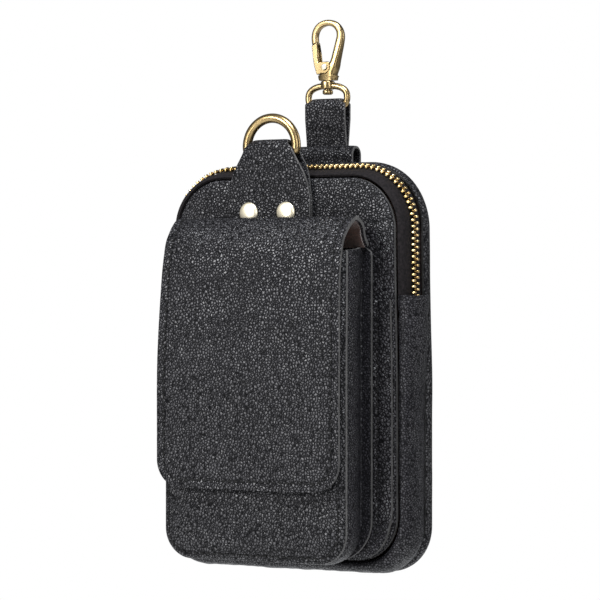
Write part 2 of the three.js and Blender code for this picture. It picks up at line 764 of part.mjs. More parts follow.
// The pouch's side wall, narrower at its foot, and the flange that is sewn to the panel
function pouchGusset() {
  const rows = POUCH_GUSSET_SECTION.map(({ waist, depth }) => ({
    out: -waist * POUCH_WAIST,
    y: POUCH_FACE + depth * POUCH_DEPTH,
    lift: waist > 0 ? waist * FLANGE_LIFT : 0,
    top: POUCH_TOP_HEIGHT + depth * POUCH_TOP_RISE,
  }));
  const top = POUCH_TOP_HEIGHT + POUCH_TOP_RISE;
  const foot = { y: FLANGE_FACE, lift: FLANGE_LIFT, top };
  rows.push({ ...foot, out: -POUCH_WAIST });
  rows.push({ ...foot, out: FLANGE_WIDTH - POUCH_WAIST });
  const rails = rows.map(({ out, y, lift, top: end }) => {
    const half = POUCH_WIDTH / 2 + out;
    const base = POUCH_BOTTOM - out + lift - POUCH_WAIST * (lift / FLANGE_LIFT) * 0.5;
    const radius = POUCH_RADIUS + out + lift;
    return uPoints({ half, end, base, radius }).map(([x, z]) => pouchPoint(x, y, z));
  });
  const grid = rails[0].map((_, i) => rails.map((rail) => rail[i]));
  return piece("pouch_gusset", wallBody(grid, -POUCH_LEATHER, false), smoothLook);
}

// The flap's outer surface as a curve in Y-Z, from its sewn root to its lower edge
function flapCurve() {
  const root = PANEL_FACE - GAP;
  const climb = (rise) => POUCH_TOP_HEIGHT + rise * FLAP_ARCH;
  const fall = (drop) => climb(1) - drop * FLAP_DROP;
  const points = [
    ...FLAP_ROOT.map(({ rise, stack }) => at(0, root - stack * TAB_STACK, climb(rise))),
    ...FLAP_TOP.map(({ reach, rise }) => pouchPoint(0, reach * FLAP_FACE, climb(rise))),
    ...FLAP_FRONT.map(({ reach, drop }) => pouchPoint(0, reach * FLAP_FACE, fall(drop))),
  ];
  return new THREE.CatmullRomCurve3(points, false, "centripetal");
}

// Distances along the flap with its half width there: the root, the full width, the round corners
function flapRows(length) {
  const rows = [];
  const root = FLAP_ROOT_LENGTH / length;
  rows.push({ u: 0, half: FLAP_ROOT_WIDTH / 2 });
  rows.push({ u: root, half: FLAP_ROOT_WIDTH / 2 });
  rows.push({ u: root * 1.04, half: 0.48 * FLAP_WIDTH });
  const straight = 1 - FLAP_RADIUS / length;
  const first = root * 1.35;
  for (let k = 0; k <= 13; k += 1) {
    rows.push({ u: mix(first, straight, (k / 13) ** 1.25), half: FLAP_WIDTH / 2 });
  }
  for (let k = 1; k <= 5; k += 1) {
    const angle = ((k / 5) * Math.PI) / 2;
    const half = FLAP_WIDTH / 2 - FLAP_RADIUS * (1 - Math.cos(angle));
    rows.push({ u: straight + (FLAP_RADIUS * Math.sin(angle)) / length, half });
  }
  return rows;
}

function flapGrid(margin) {
  const curve = flapCurve();
  const length = curve.getLength();
  const columns = [-1, -0.85, -0.6, 0, 0.6, 0.85, 1];
  return flapRows(length).map(({ u, half }) => {
    const p = curve.getPointAt(Math.min(u, 1));
    const front = THREE.MathUtils.smoothstep(p.y / FLAP_FACE, 0.6, 1);
    return columns.map((c) => at(c * (half - margin), p.y + front * FLAP_CROWN * c ** 6, p.z));
  });
}

function flap() {
  return piece("flap", wallBody(flapGrid(0), -FLAP_LEATHER, false), leatherLook);
}

// The lining behind the flap starts above its sewn root
function flapLining() {
  const grid = movedGrid(flapGrid(LINING_MARGIN), -FLAP_LEATHER - GAP, false);
  return piece("flap_lining", wallBody(grid.slice(3, -1), -LINING, false), suedeLook);
}

// A strap folded over at its top, as a grid across its width. Rows run up its front and down its
// back, and each has its own half width.
function foldedStrap(profile, halfWidthAt, centre) {
  return profile.map(({ y, z }) => {
    const half = halfWidthAt(z);
    return [at(centre - half, y, z), at(centre + half, y, z)];
  });
}

function foldProfile({ front, back, top }) {
  const radius = (back - front) / 2;
  const rows = [];
  for (let k = 0; k <= FOLD_STEPS; k += 1) {
    const angle = Math.PI * (1 - k / FOLD_STEPS);
    rows.push({
      y: (front + back) / 2 + radius * Math.cos(angle),
      z: top - radius + radius * Math.sin(angle),
    });
  }
  return rows;
}

const RING_SPREAD = D_WIRE / 2 + GAP + STRAP_LEATHER;
const RING_PLANE = (PANEL_FACE - TAB_STACK) / 2 + RING_FORWARD;
const TAB_BAR_HEIGHT = TAB_TOP_HEIGHT - STRAP_LEATHER - D_SLACK - D_WIRE / 2;

function ringTab() {
  const lowFront = PANEL_FACE - TAB_STACK;
  const lowBack = PANEL_FACE - GAP;
  const bottom = TAB_TOP_HEIGHT - TAB_LENGTH;
  const ease = PANEL_TOP - D_WIRE;
  const clear = TAB_BAR_HEIGHT - D_WIRE;
  const fold = foldProfile({
    front: RING_PLANE - RING_SPREAD,
    back: RING_PLANE + RING_SPREAD,
    top: TAB_TOP_HEIGHT,
  });
  const profile = [
    { y: lowFront, z: bottom },
    { y: lowFront, z: ease },
    { y: RING_PLANE - RING_SPREAD, z: clear },
    ...fold,
    { y: RING_PLANE + RING_SPREAD, z: clear },
    { y: lowBack, z: ease },
    { y: lowBack, z: bottom },
  ];
  const halfWidth = (z) => {
    const depth = (TAB_TOP_HEIGHT - z) / TAB_LENGTH;
    return (lookUp(TAB_SHAPE, "depth", depth, "width") * TAB_WIDTH) / 2;
  };
  const grid = foldedStrap(profile, halfWidth, TAB_OFFSET);
  return piece("ring_tab", wallBody(grid, STRAP_LEATHER, false), leatherLook);
}

function dRing() {
  const radius = D_WIDTH / 2;
  const centre = TAB_BAR_HEIGHT + D_LEG;
  const path = [];
  for (let k = 0; k <= 14; k += 1) {
    const angle = (Math.PI * k) / 14;
    path.push({ x: radius * Math.cos(angle), z: centre + radius * Math.sin(angle) });
  }
  for (const side of [-1, 1]) {
    const turns = [0, 1, 2, 3].map((k) => {
      const angle = ((k / 3) * Math.PI) / 2;
      return {
        x: side * (radius - D_CORNER * (1 - Math.cos(angle))),
        z: TAB_BAR_HEIGHT + D_CORNER * (1 - Math.sin(angle)),
      };
    });
    path.push(...(side < 0 ? turns : turns.reverse()));
  }
  const placed = path.map(({ x, z }) => ({ x: x + TAB_OFFSET, y: RING_PLANE, z }));
  const stations = stationsOf(placed, true, { a: D_WIRE / 2, b: D_WIRE / 2 });
  return piece("d_ring", barBody(stations, WIRE_SIDES, 2, true), brassLook);
}

// A domed cap, its flat side against the tab
function rivet(name, side) {
  const radius = RIVET_DIAMETER / 2;
  const profile = [new THREE.Vector2(0, 0), new THREE.Vector2(radius * 0.94, 0)];
  for (let k = 0; k <= 4; k += 1) {
    const angle = ((k / 4) * Math.PI) / 2;
    profile.push(
      new THREE.Vector2(radius * Math.cos(angle), RIVET_HEIGHT * (0.2 + 0.8 * Math.sin(angle))),
    );
  }
  const geometry = new THREE.LatheGeometry(profile, ROUND_SIDES);
  const cap = piece(name, geometry, paleBrassLook);
  cap.rotation.x = Math.PI;
  cap.position.set(
    TAB_OFFSET + (side * RIVET_SPACING) / 2,
    PANEL_FACE - TAB_STACK - GAP,
    TAB_TOP_HEIGHT - TAB_LENGTH + RIVET_RISE,
  );
  return cap;
}

function beltLoop() {
  const bottom = LOOP_TOP_HEIGHT - LOOP_BACK_LENGTH;
  const hem = LOOP_FRONT + STRAP_LEATHER;
  const profile = [
    { y: LOOP_FRONT, z: LOOP_TOP_HEIGHT - LOOP_FRONT_LENGTH },
    ...foldProfile({ front: LOOP_FRONT, back: LOOP_BACK, top: LOOP_TOP_HEIGHT }),
    { y: LOOP_BACK, z: bottom + LOOP_HEM + LOOP_RAMP },
    { y: hem, z: bottom + LOOP_HEM },
    { y: hem, z: bottom },
  ];
  const grid = foldedStrap(profile, () => LOOP_WIDTH / 2, 0);
  return piece("belt_loop", wallBody(grid, STRAP_LEATHER, false), leatherLook);
}

function hookStrap() {
  const spread = EYE_WIRE / 2 + GAP + STRAP_LEATHER;
  const bottom = LOOP_TOP_HEIGHT - STRAP_OVERLAP;
  const ease = LOOP_TOP_HEIGHT + GAP;
  const clear = EYE_BOTTOM - EYE_WIRE;
  const front = HOOK_PLANE - spread;
  const back = HOOK_PLANE + spread;
  const profile = [
    { y: STRAP_FRONT, z: bottom },
    { y: STRAP_FRONT, z: ease },
    { y: front, z: clear },
    { y: front, z: clear + STRAP_SHOULDER / 2 },
    ...foldProfile({ front, back, top: STRAP_TOP_HEIGHT }),
    { y: back, z: clear + STRAP_SHOULDER / 2 },
    { y: back, z: clear },
    { y: STRAP_BACK, z: ease },
    { y: STRAP_BACK, z: bottom },
  ];
  const halfWidth = (z) => {
    const shoulder = STRAP_TOP_HEIGHT - spread;
    const share = THREE.MathUtils.smoothstep(z, shoulder - STRAP_SHOULDER, shoulder + 2 * GAP);
    return mix(STRAP_WIDTH, STRAP_FOLD_WIDTH, share) / 2;
  };
  const grid = foldedStrap(profile, halfWidth, 0);
  return piece("hook_strap", wallBody(grid, STRAP_LEATHER, false), leatherLook);
}

function uprightCylinder(diameter, low, high, sides) {
  const height = high - low;
  const geometry = new THREE.CylinderGeometry(diameter / 2, diameter / 2, height, sides);
  geometry.rotateX(Math.PI / 2);
  geometry.translate(0, HOOK_PLANE, (low + high) / 2);
  return solidOf(geometry);
}

// The oval ring in the hook strap with the barrel that the hook's stud turns in
function swivelEye() {
  const middle = (EYE_BOTTOM + EYE_TOP) / 2;
  const across = (EYE_WIDTH - EYE_WIRE) / 2;
  const up = (EYE_HEIGHT - EYE_WIRE) / 2;
  const path = Array.from({ length: EYE_STEPS }, (_, k) => {
    const angle = (2 * Math.PI * k) / EYE_STEPS;
    const c = Math.cos(angle);
    const s = Math.sin(angle);
    return {
      x: across * Math.sign(c) * Math.abs(c) ** (2 / EYE_POWER),
      y: HOOK_PLANE,
      z: middle + up * Math.sign(s) * Math.abs(s) ** (2 / EYE_POWER),
    };
  });
  const stations = stationsOf(path, true, { a: EYE_WIRE / 2, b: EYE_WIRE / 2 });
  const ring = solidOf(barBody(stations, WIRE_SIDES, 2, true));
  const top = EYE_TOP + 2 * GAP;
  const barrel = uprightCylinder(BARREL_DIAMETER, top - BARREL_HEIGHT, top, ROUND_SIDES);
  const bore = uprightCylinder(
    STUD_DIAMETER + 2 * GAP,
    top - 2 * BARREL_HEIGHT,
    top + BARREL_HEIGHT,
    ROUND_SIDES,
  );
  return piece("swivel_eye", geometryOf(ring.add(barrel).subtract(bore)), brassLook);
}

const PIVOT = { x: PIVOT_OFFSET, z: HOOK_BASE + PIVOT_RISE };
const NOSE_PLACE = { across: -0.76, rise: 0.626 };
const NOSE_ANGLE = Math.atan2(
  HOOK_BASE + NOSE_PLACE.rise * HOOK_HEIGHT - PIVOT.z,
  (NOSE_PLACE.across * HOOK_WIDTH) / 2 - PIVOT.x,
);
const TO_NOSE = { x: Math.cos(NOSE_ANGLE), z: Math.sin(NOSE_ANGLE) };
const GATE_LENGTH = NOSE_REACH - GAP;

function crossCylinder(diameter, depth, sides) {
  const geometry = new THREE.CylinderGeometry(diameter / 2, diameter / 2, depth, sides);
  geometry.translate(PIVOT.x, HOOK_PLANE, PIVOT.z);
  return geometry;
}

// The hook's bar, smoothed through its table and ended square to the gate at the nose
function hookBar() {
  const half = HOOK_WIDTH / 2;
  const places = HOOK_ROWS.map(({ across, rise }) =>
    at(across * half, 0, HOOK_BASE + rise * HOOK_HEIGHT),
  );
  const sizes = HOOK_ROWS.map(({ bar, thick }) =>
    at((bar * HOOK_BAR) / 2, (thick * HOOK_THICKNESS) / 2, 0),
  );
  places.push(at(PIVOT.x + TO_NOSE.x * NOSE_REACH, 0, PIVOT.z + TO_NOSE.z * NOSE_REACH));
  sizes.push(sizes[sizes.length - 1].clone());
  const route = new THREE.CatmullRomCurve3(places, false, "centripetal");
  const swell = new THREE.CatmullRomCurve3(sizes, false, "catmullrom", SWELL_TENSION);
  const steps = 2 * (places.length - 1);
  const path = [];
  for (let k = 0; k <= steps; k += 1) {
    const spot = route.getPoint(k / steps);
    const size = swell.getPoint(k / steps);
    path.push({ x: spot.x, y: HOOK_PLANE, z: spot.z, a: size.x, b: size.y });
  }
  const stations = stationsOf(path, false, {});
  stations[0].ux = 1;
  stations[0].uz = 0;
  stations[steps].ux = -TO_NOSE.z;
  stations[steps].uz = TO_NOSE.x;
  return barBody(stations, BAR_SIDES, HOOK_POWER, false);
}

// The thin part of the hook that stands inside the gate and carries the pin
function hookTongue() {
  const disc = solidOf(crossCylinder(2 * TONGUE_RADIUS, TONGUE_THICKNESS, ROUND_SIDES));
  const wide = 2 * TONGUE_RADIUS;
  const tall = PIVOT_RISE - HOOK_BAR / 2;
  const box = new THREE.BoxGeometry(wide, TONGUE_THICKNESS, tall);
  box.translate(PIVOT.x + wide / 4, HOOK_PLANE, PIVOT.z - tall / 2);
  return disc.add(solidOf(box));
}

function snapHook() {
  const stud = uprightCylinder(
    STUD_DIAMETER,
    HOOK_BASE - BARREL_HEIGHT - 3 * GAP,
    HOOK_BASE + STUD_DIAMETER,
    ROUND_SIDES,
  );
  const buttonTop = EYE_TOP + 2 * GAP - BARREL_HEIGHT - GAP;
  const button = uprightCylinder(BUTTON_DIAMETER, buttonTop - BUTTON_HEIGHT, buttonTop, ROUND_SIDES);
  const pocket = crossCylinder(2 * KNUCKLE_RADIUS + 4 * GAP, CUT_LENGTH, ROUND_SIDES);
  const pinBore = crossCylinder(PIN_DIAMETER + 2 * GAP, CUT_LENGTH, BAR_SIDES);
  const seat = gatePlate(
    SEAT.map(({ across, rise }) => ({
      x: PIVOT.x + across * KNUCKLE_RADIUS,
      z: PIVOT.z + rise * KNUCKLE_RADIUS,
      share: 0,
    })),
    CUT_LENGTH / 2,
    CUT_LENGTH / 2,
  );
  const body = solidOf(hookBar()).subtract(seat).subtract(solidOf(pocket)).add(hookTongue());
  const hook = body.add(stud).add(button).subtract(solidOf(pinBore));
  return piece("snap_hook", geometryOf(hook), brassLook);
}

// A place on the gate in X-Z, with its distance towards the nose
function gatePlace({ along, across }) {
  const reach = along * GATE_LENGTH;
  const side = across * GATE_BAR;
  return {
    x: PIVOT.x + TO_NOSE.x * reach + TO_NOSE.z * side,
    z: PIVOT.z + TO_NOSE.z * reach - TO_NOSE.x * side,
    share: THREE.MathUtils.clamp(along, 0, 1),
  };
}

// A plate across Y from a closed run of places, with a half thickness at the pin and at the nose
function gatePlate(places, atPin, atNose) {
  const half = ({ share }) => mix(atPin, atNose, share);
  const rings = [-1, 1].map((side) =>
    places.map((place) => at(place.x, HOOK_PLANE + side * half(place), place.z)),
  );
  return solidOf(sweptBody(rings, false));
}

// A folded gate whose two cheeks lie either side of the hook's tongue, open towards the inside
function hookGate() {
  const knuckle = [];
  for (let k = 0; k <= KNUCKLE_STEPS; k += 1) {
    const angle = THREE.MathUtils.degToRad(mix(KNUCKLE_START, KNUCKLE_END, k / KNUCKLE_STEPS));
    const x = PIVOT.x + KNUCKLE_RADIUS * Math.cos(angle);
    knuckle.push({ x, z: PIVOT.z + KNUCKLE_RADIUS * Math.sin(angle), share: 0 });
  }
  const face = [...GATE_OUTER.map(gatePlace), ...knuckle, ...GATE_INNER.map(gatePlace)];
  const cheek = KNUCKLE_THICKNESS / 2;
  const plate = gatePlate(face, cheek, HOOK_THICKNESS / 2);
  const web = GATE_WEB / GATE_BAR;
  const left = GATE_OUTER.map(({ along, across }) => ({
    along: Math.min(along, GATE_SEAT),
    across: across + web,
  }));
  const room = [...left, ...CHANNEL_INNER];
  const channelHalf = TONGUE_THICKNESS / 2 + GAP;
  const channel = gatePlate(room.map(gatePlace), channelHalf, channelHalf - GAP);
  const bore = solidOf(crossCylinder(PIN_DIAMETER + 2 * GAP, CUT_LENGTH, BAR_SIDES));
  return piece("hook_gate", geometryOf(plate.subtract(channel).subtract(bore)), brassLook);
}

function gatePin() {
  const reach = KNUCKLE_THICKNESS / 2 + GAP;
  const shaft = solidOf(crossCylinder(PIN_DIAMETER, 2 * reach + PIN_HEAD_HEIGHT, BAR_SIDES));
  const heads = [-1, 1].map((side) => {
    const head = crossCylinder(PIN_HEAD_DIAMETER, PIN_HEAD_HEIGHT, BAR_SIDES);
    head.translate(0, side * (reach + PIN_HEAD_HEIGHT / 2), 0);
    return solidOf(head);
  });
  return piece("gate_pin", geometryOf(shaft.add(heads[0]).add(heads[1])), paleBrassLook);
}

const bag = new THREE.Group();
bag.add(
  frontPanel(),
  ...frontLayers(),
  frontGusset(),
  ...zipTapes(),
  zipTeeth(),
  zipSlider(),
  backGusset(),
  backPanel(),
  pouchFront(),
  pouchGusset(),
  flap(),
  flapLining(),
  ringTab(),
  dRing(),
  rivet("rivet_left", -1),
  rivet("rivet_right", 1),
  beltLoop(),
  hookStrap(),
  swivelEye(),
  snapHook(),
  hookGate(),
  gatePin(),
);
bag.position.set(0, -HOOK_PLANE, -HOOK_INNER_TOP);

export default new THREE.Group().add(bag);
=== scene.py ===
import math

import bmesh
import bpy
import numpy as np
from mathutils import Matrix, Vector, noise


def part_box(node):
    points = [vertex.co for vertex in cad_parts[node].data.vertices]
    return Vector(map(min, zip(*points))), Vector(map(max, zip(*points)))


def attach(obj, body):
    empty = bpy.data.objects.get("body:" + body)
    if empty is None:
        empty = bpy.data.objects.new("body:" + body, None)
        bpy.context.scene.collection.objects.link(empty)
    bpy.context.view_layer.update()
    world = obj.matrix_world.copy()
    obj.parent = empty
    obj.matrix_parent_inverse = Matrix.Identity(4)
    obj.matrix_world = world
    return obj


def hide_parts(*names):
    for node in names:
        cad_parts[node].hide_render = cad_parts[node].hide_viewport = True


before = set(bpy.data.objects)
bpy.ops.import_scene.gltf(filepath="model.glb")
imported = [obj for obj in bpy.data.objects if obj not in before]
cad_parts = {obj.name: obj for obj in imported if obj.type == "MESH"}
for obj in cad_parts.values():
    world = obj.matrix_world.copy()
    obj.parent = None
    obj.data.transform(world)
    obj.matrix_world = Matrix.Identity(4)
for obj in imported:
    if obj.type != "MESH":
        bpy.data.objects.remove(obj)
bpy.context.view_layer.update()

# Sizes are in millimetres, in the bag's own coordinates: X across, Y back from the front panel's face,
# Z up from the bag's lowest point. PANEL_* and the places below put them in the frame.
MM = 0.001
PANEL_WIDTH = 108.8
PANEL_HEIGHT = 162.5
PANEL_TOP_RADIUS = 22.0
PANEL_BOTTOM_RADIUS = 19.0
TOP_RADIUS_GROWTH = 0.85
PANEL_DOME = 1.0
PANEL_ROLL = 1.4
PANEL_CONTOUR = 16.0
LEATHER = 1.8
GAP = 0.3
TAPER = 0.02
TAPER_LOW = 70.0
TAPER_HIGH = 145.0
SIDE_REACH = 6.6
TOP_REACH = 7.4
FOOT_REACH = 5.5
GUSSET_PUFF = 3.0
PUFF_REACH = 30.0
BODY_DEPTH = 26.0
BACK_EDGE = 3.2
BACK_LIP = 6.0
ZIP_END = 118.0
POCKET_TOP = 116.0
POCKET_LEATHER = 1.3
TRIM_TOP = 20.6
TRIM_CURL = 3.8
TRIM_LEATHER = 1.9
ZIP_WIDTH = 15.0
CHAIN_PLACE = 0.59
CHAIN_WIDTH = 5.2
CHAIN_THICKNESS = 1.5
TOOTH_PITCH = 2.54
TAPE = 1.1
POUCH_WIDTH = 88.4
POUCH_TOP = 136.7
POUCH_TOP_RISE = 1.5
POUCH_DEPTH = 19.2
POUCH_RADIUS = 13.0
POUCH_DOME = 4.4
POUCH_WAIST = 3.7
POUCH_LEAN = 2.5
POUCH_SQUEEZE = 0.025
LEAN_START = 85.0
POUCH_LEATHER = 1.5
FLANGE_WIDTH = 5.2
FLANGE_LIFT = 3.4
FLANGE_CORNER = 3.2
FLANGE_CORNER_WIDTH = 0.35
FLAP_WIDTH = 89.0
FLAP_ROOT_WIDTH = 76.0
FLAP_ROOT_LENGTH = 19.5
FLAP_ARCH = 14.3
FLAP_DROP = 115.0
FLAP_RADIUS = 12.0
FLAP_CROWN = 0.7
FLAP_LEATHER = 1.6
LINING = 0.8
STRAP_LEATHER = 1.4
TAB_WIDTH = 41.0
TAB_FOOT_RISE = 0.44
TAB_OFFSET = -5.0
D_WIRE = 4.1
D_WIDTH = 24.3
D_LEG = 3.0
D_CORNER = 2.6
D_SLACK = 2.5
RING_FORWARD = 1.0
RIVET_DIAMETER = 9.0
RIVET_HEIGHT = 1.8
RIVET_SPACING = 18.4
RIVET_RISE = 10.5
LOOP_WIDTH = 36.0
LOOP_FRONT_LENGTH = 40.0
LOOP_HEM = 14.0
LOOP_RAMP = 13.0
STRAP_WIDTH = 20.0
STRAP_FOLD_WIDTH = 15.4
STRAP_SHOULDER = 2.4
EYE_WIRE = 2.9
EYE_WIDTH = 22.4
EYE_HEIGHT = 13.4
EYE_POWER = 2.5
BARREL_DIAMETER = 6.2
BARREL_HEIGHT = 3.6
STUD_DIAMETER = 2.6
BUTTON_DIAMETER = 4.6
BUTTON_HEIGHT = 2.0
HOOK_WIDTH = 16.6
HOOK_HEIGHT = 27.0
HOOK_BAR = 2.9
HOOK_THICKNESS = 3.4
PIVOT_RISE = 5.9
PIVOT_OFFSET = -0.4
TONGUE_THICKNESS = 2.2
TONGUE_RADIUS = 2.2
KNUCKLE_RADIUS = 2.9
KNUCKLE_THICKNESS = 5.2
KNUCKLE_START = -110
KNUCKLE_END = 55
GATE_BAR = 2.8
GATE_WEB = 1.0
GATE_SEAT = 0.86
NOSE_REACH = 12.1
PIN_HEAD_DIAMETER = 2.8

STITCH_PITCH = 3.1
STITCH_LENGTH = 2.3
STITCH_WIDTH = 0.8
STITCH_DEPTH = 0.42
STITCH_RINGS = 7
STITCH_SIDES = 8
STITCH_LIFT = 0.02
STITCH_SLANT = 0.1

FORWARD = np.array([0, -1.0, 0])
BACKWARD = -FORWARD

# Places in bag coordinates, from the frame's own boxes
panel_low, panel_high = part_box("front_panel")
ZERO = Vector((0, panel_low.y + PANEL_DOME * MM, panel_low.z - FOOT_REACH * MM))


def in_bag(node):
    """A CAD node's lowest and highest corners in bag coordinates."""
    low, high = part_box(node)
    return (low - ZERO) / MM, (high - ZERO) / MM


PANEL_BOTTOM = FOOT_REACH
PANEL_TOP = PANEL_BOTTOM + PANEL_HEIGHT
PANEL_FACE = -PANEL_DOME
TAB_STACK = 2 * (STRAP_LEATHER + GAP)
FLAP_FACE = in_bag("flap")[0].y
POUCH_FACE = in_bag("pouch_front")[0].y + POUCH_DOME
FLANGE_FACE = POUCH_FACE + POUCH_DEPTH
TAB_TOP = in_bag("ring_tab")[1].z
TAB_LENGTH = TAB_TOP - POUCH_TOP - TAB_FOOT_RISE * FLAP_ARCH
LOOP_LOW, LOOP_HIGH = in_bag("belt_loop")
STRAP_LOW, STRAP_HIGH = in_bag("hook_strap")
EYE_LOW, EYE_HIGH = in_bag("swivel_eye")
HOOK_PLANE = -ZERO.y / MM
HOOK_BASE = -ZERO.z / MM - HOOK_HEIGHT + HOOK_BAR


def mix(a, b, t):
    return a + (b - a) * t


def smoothstep(t):
    t = np.clip(t, 0, 1)
    return t * t * (3 - 2 * t)


def smooth_curve(rows, count):
    """A smooth curve through rows of equal length, sampled evenly along its length."""
    rows = np.array(rows, float)
    padded = np.vstack([2 * rows[0] - rows[1], rows, 2 * rows[-1] - rows[-2]])
    t = np.linspace(0, len(rows) - 1 - 1e-9, 40 * len(rows))
    k = t.astype(int)
    f = (t - k)[:, None]
    p0, p1, p2, p3 = (padded[k + i] for i in range(4))
    dense = 0.5 * (
        2 * p1
        + (p2 - p0) * f
        + (2 * p0 - 5 * p1 + 4 * p2 - p3) * f**2
        + (3 * p1 - p0 - 3 * p2 + p3) * f**3
    )
    return even(dense, count)


def lengths(points):
    """Each point's distance along a line of points."""
    steps = np.linalg.norm(np.diff(points, axis=0), axis=1)
    return np.concatenate([[0], np.cumsum(steps)])


def even(points, count):
    """The same line with its points spread evenly."""
    points = np.array(points, float)
    along = lengths(points)
    where = np.linspace(0, along[-1], count)
    return np.column_stack([np.interp(where, along, column) for column in points.T])


def graded(low, high, marks, fine, coarse, band):
    """Places from low to high, close together near the marks and wider elsewhere."""
    places = [low]
    while places[-1] < high:
        near = min(abs(places[-1] - m) for m in marks)
        places.append(places[-1] + mix(fine, coarse, min(max(near - band, 0) / (2 * band), 1)))
    places = np.array(places)
    return low + (places - low) * (high - low) / (places[-1] - low)


def grid_normals(grid, loop):
    """Unit normals of a grid of points, its first axis closed on itself if loop is set."""
    if loop:
        along = np.roll(grid, -1, 0) - np.roll(grid, 1, 0)
    else:
        along = np.gradient(grid, axis=0)
    across = np.gradient(grid, axis=1)
    normal = np.cross(along, across)
    return normal / np.maximum(np.linalg.norm(normal, axis=2, keepdims=True), 1e-9)


def circle(count):
    """Angles spread evenly round a circle."""
    return np.linspace(0, 2 * math.pi, count, endpoint=False)


def waves(points, size, seed):
    """Slow soft noise from -1 to 1 at each point, size being its wavelength in millimetres."""
    flat = points.reshape(-1, 3) / size + seed
    values = np.array([noise.noise(Vector(p)) for p in flat])
    return values.reshape(points.shape[:-1])


def bag_mesh(name, points, faces, kinds, looks, smooth_angle=50):
    """A mesh object from bag coordinates. kinds gives each face's index in looks."""
    mesh = bpy.data.meshes.new(name)
    placed = np.array(points) * MM + np.array(ZERO)
    mesh.from_pydata(placed.tolist(), [], [tuple(f) for f in faces])
    for look in looks:
        mesh.materials.append(look)
    mesh.polygons.foreach_set("material_index", np.array(kinds, int))
    mesh.polygons.foreach_set("use_smooth", np.ones(len(faces), bool))
    mesh.validate()
    build = bmesh.new()
    build.from_mesh(mesh)
    bmesh.ops.remove_doubles(build, verts=build.verts, dist=1e-7)
    bmesh.ops.recalc_face_normals(build, faces=build.faces)
    build.to_mesh(mesh)
    build.free()
    mesh.set_sharp_from_angle(angle=math.radians(smooth_angle))
    piece = bpy.data.objects.new(name, mesh)
    bpy.context.scene.collection.objects.link(piece)
    return piece


def finish_piece(piece, body, slot, *nodes, bevel=0.0):
    """Rounds a piece's sharp edges, and ties it to its body and the nodes it stands for; slot is not
    used.
    """
    if bevel:
        rounding = piece.modifiers.new("rounding", "BEVEL")
        rounding.width = bevel * MM
        rounding.segments = 3
        rounding.limit_method = "ANGLE"
        rounding.angle_limit = math.radians(50)
        rounding.harden_normals = False
    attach(piece, body)
    if nodes:
        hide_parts(*nodes)
    return piece


def wall_parts(outer, inner, loop):
    """Points, faces and kinds of a wall: 0 its outside, 1 its cut edges, 2 its inside."""
    rows, columns = outer.shape[:2]
    points = np.vstack([outer.reshape(-1, 3), inner.reshape(-1, 3)])
    back = rows * columns
    faces = []
    kinds = []
    for i in range(rows if loop else rows - 1):
        k = (i + 1) % rows
        for j in range(columns - 1):
            a, b, c, d = i * columns + j, k * columns + j, k * columns + j + 1, i * columns + j + 1
            faces += [(a, b, c, d), (back + d, back + c, back + b, back + a)]
            kinds += [0, 2]
        for j, turned in ((0, False), (columns - 1, True)):
            a, b = i * columns + j, k * columns + j
            quad = (a, back + a, back + b, b)
            faces.append(quad[::-1] if turned else quad)
            kinds.append(1)
    if not loop:
        for i, turned in ((0, True), (rows - 1, False)):
            for j in range(columns - 1):
                a, b = i * columns + j, i * columns + j + 1
                quad = (a, back + a, back + b, b)
                faces.append(quad[::-1] if turned else quad)
                kinds.append(1)
    return points, faces, kinds


def wall(name, grid, thickness, looks, loop=False, relief=None):
    """A wall behind a grid of points, whose outside is raised by relief."""
    normals = grid_normals(grid, loop) * math.copysign(1, thickness)
    outer = grid if relief is None else grid - normals * relief[..., None]
    inner = grid + normals * abs(thickness)
    points, faces, kinds = wall_parts(outer, inner, loop)
    return bag_mesh(name, points, faces, kinds, looks)


def dish(name, rings, thickness, looks):
    """A dished sheet from nested rings, outermost first, its wall measured along Y."""
    outer = np.array(rings).transpose(1, 0, 2)
    inner = outer + np.array([0, thickness, 0])
    points, faces, kinds = wall_parts(outer, inner, True)
    rows, columns = outer.shape[:2]
    keep = []
    for face, kind in zip(faces, kinds):
        on_inner_edge = all(v % columns == columns - 1 for v in face)
        if not on_inner_edge:
            keep.append((face, kind))
    front_cap = tuple(i * columns + columns - 1 for i in range(rows))
    back_cap = tuple(rows * columns + v for v in reversed(front_cap))
    keep += [(front_cap, 0), (back_cap, 2)]
    return bag_mesh(name, points, [f for f, _ in keep], [k for _, k in keep], looks)


def swept(name, rings, closed, looks):
    """A body through rings of points."""
    rings = np.array(rings)
    rows, columns = rings.shape[:2]
    faces = []
    for i in range(rows if closed else rows - 1):
        k = (i + 1) % rows
        for j in range(columns):
            n = (j + 1) % columns
            faces.append((i * columns + j, k * columns + j, k * columns + n, i * columns + n))
    if not closed:
        faces.append(tuple(range(columns)))
        faces.append(tuple((rows - 1) * columns + j for j in reversed(range(columns))))
    return bag_mesh(name, rings.reshape(-1, 3), faces, [0] * len(faces), looks)


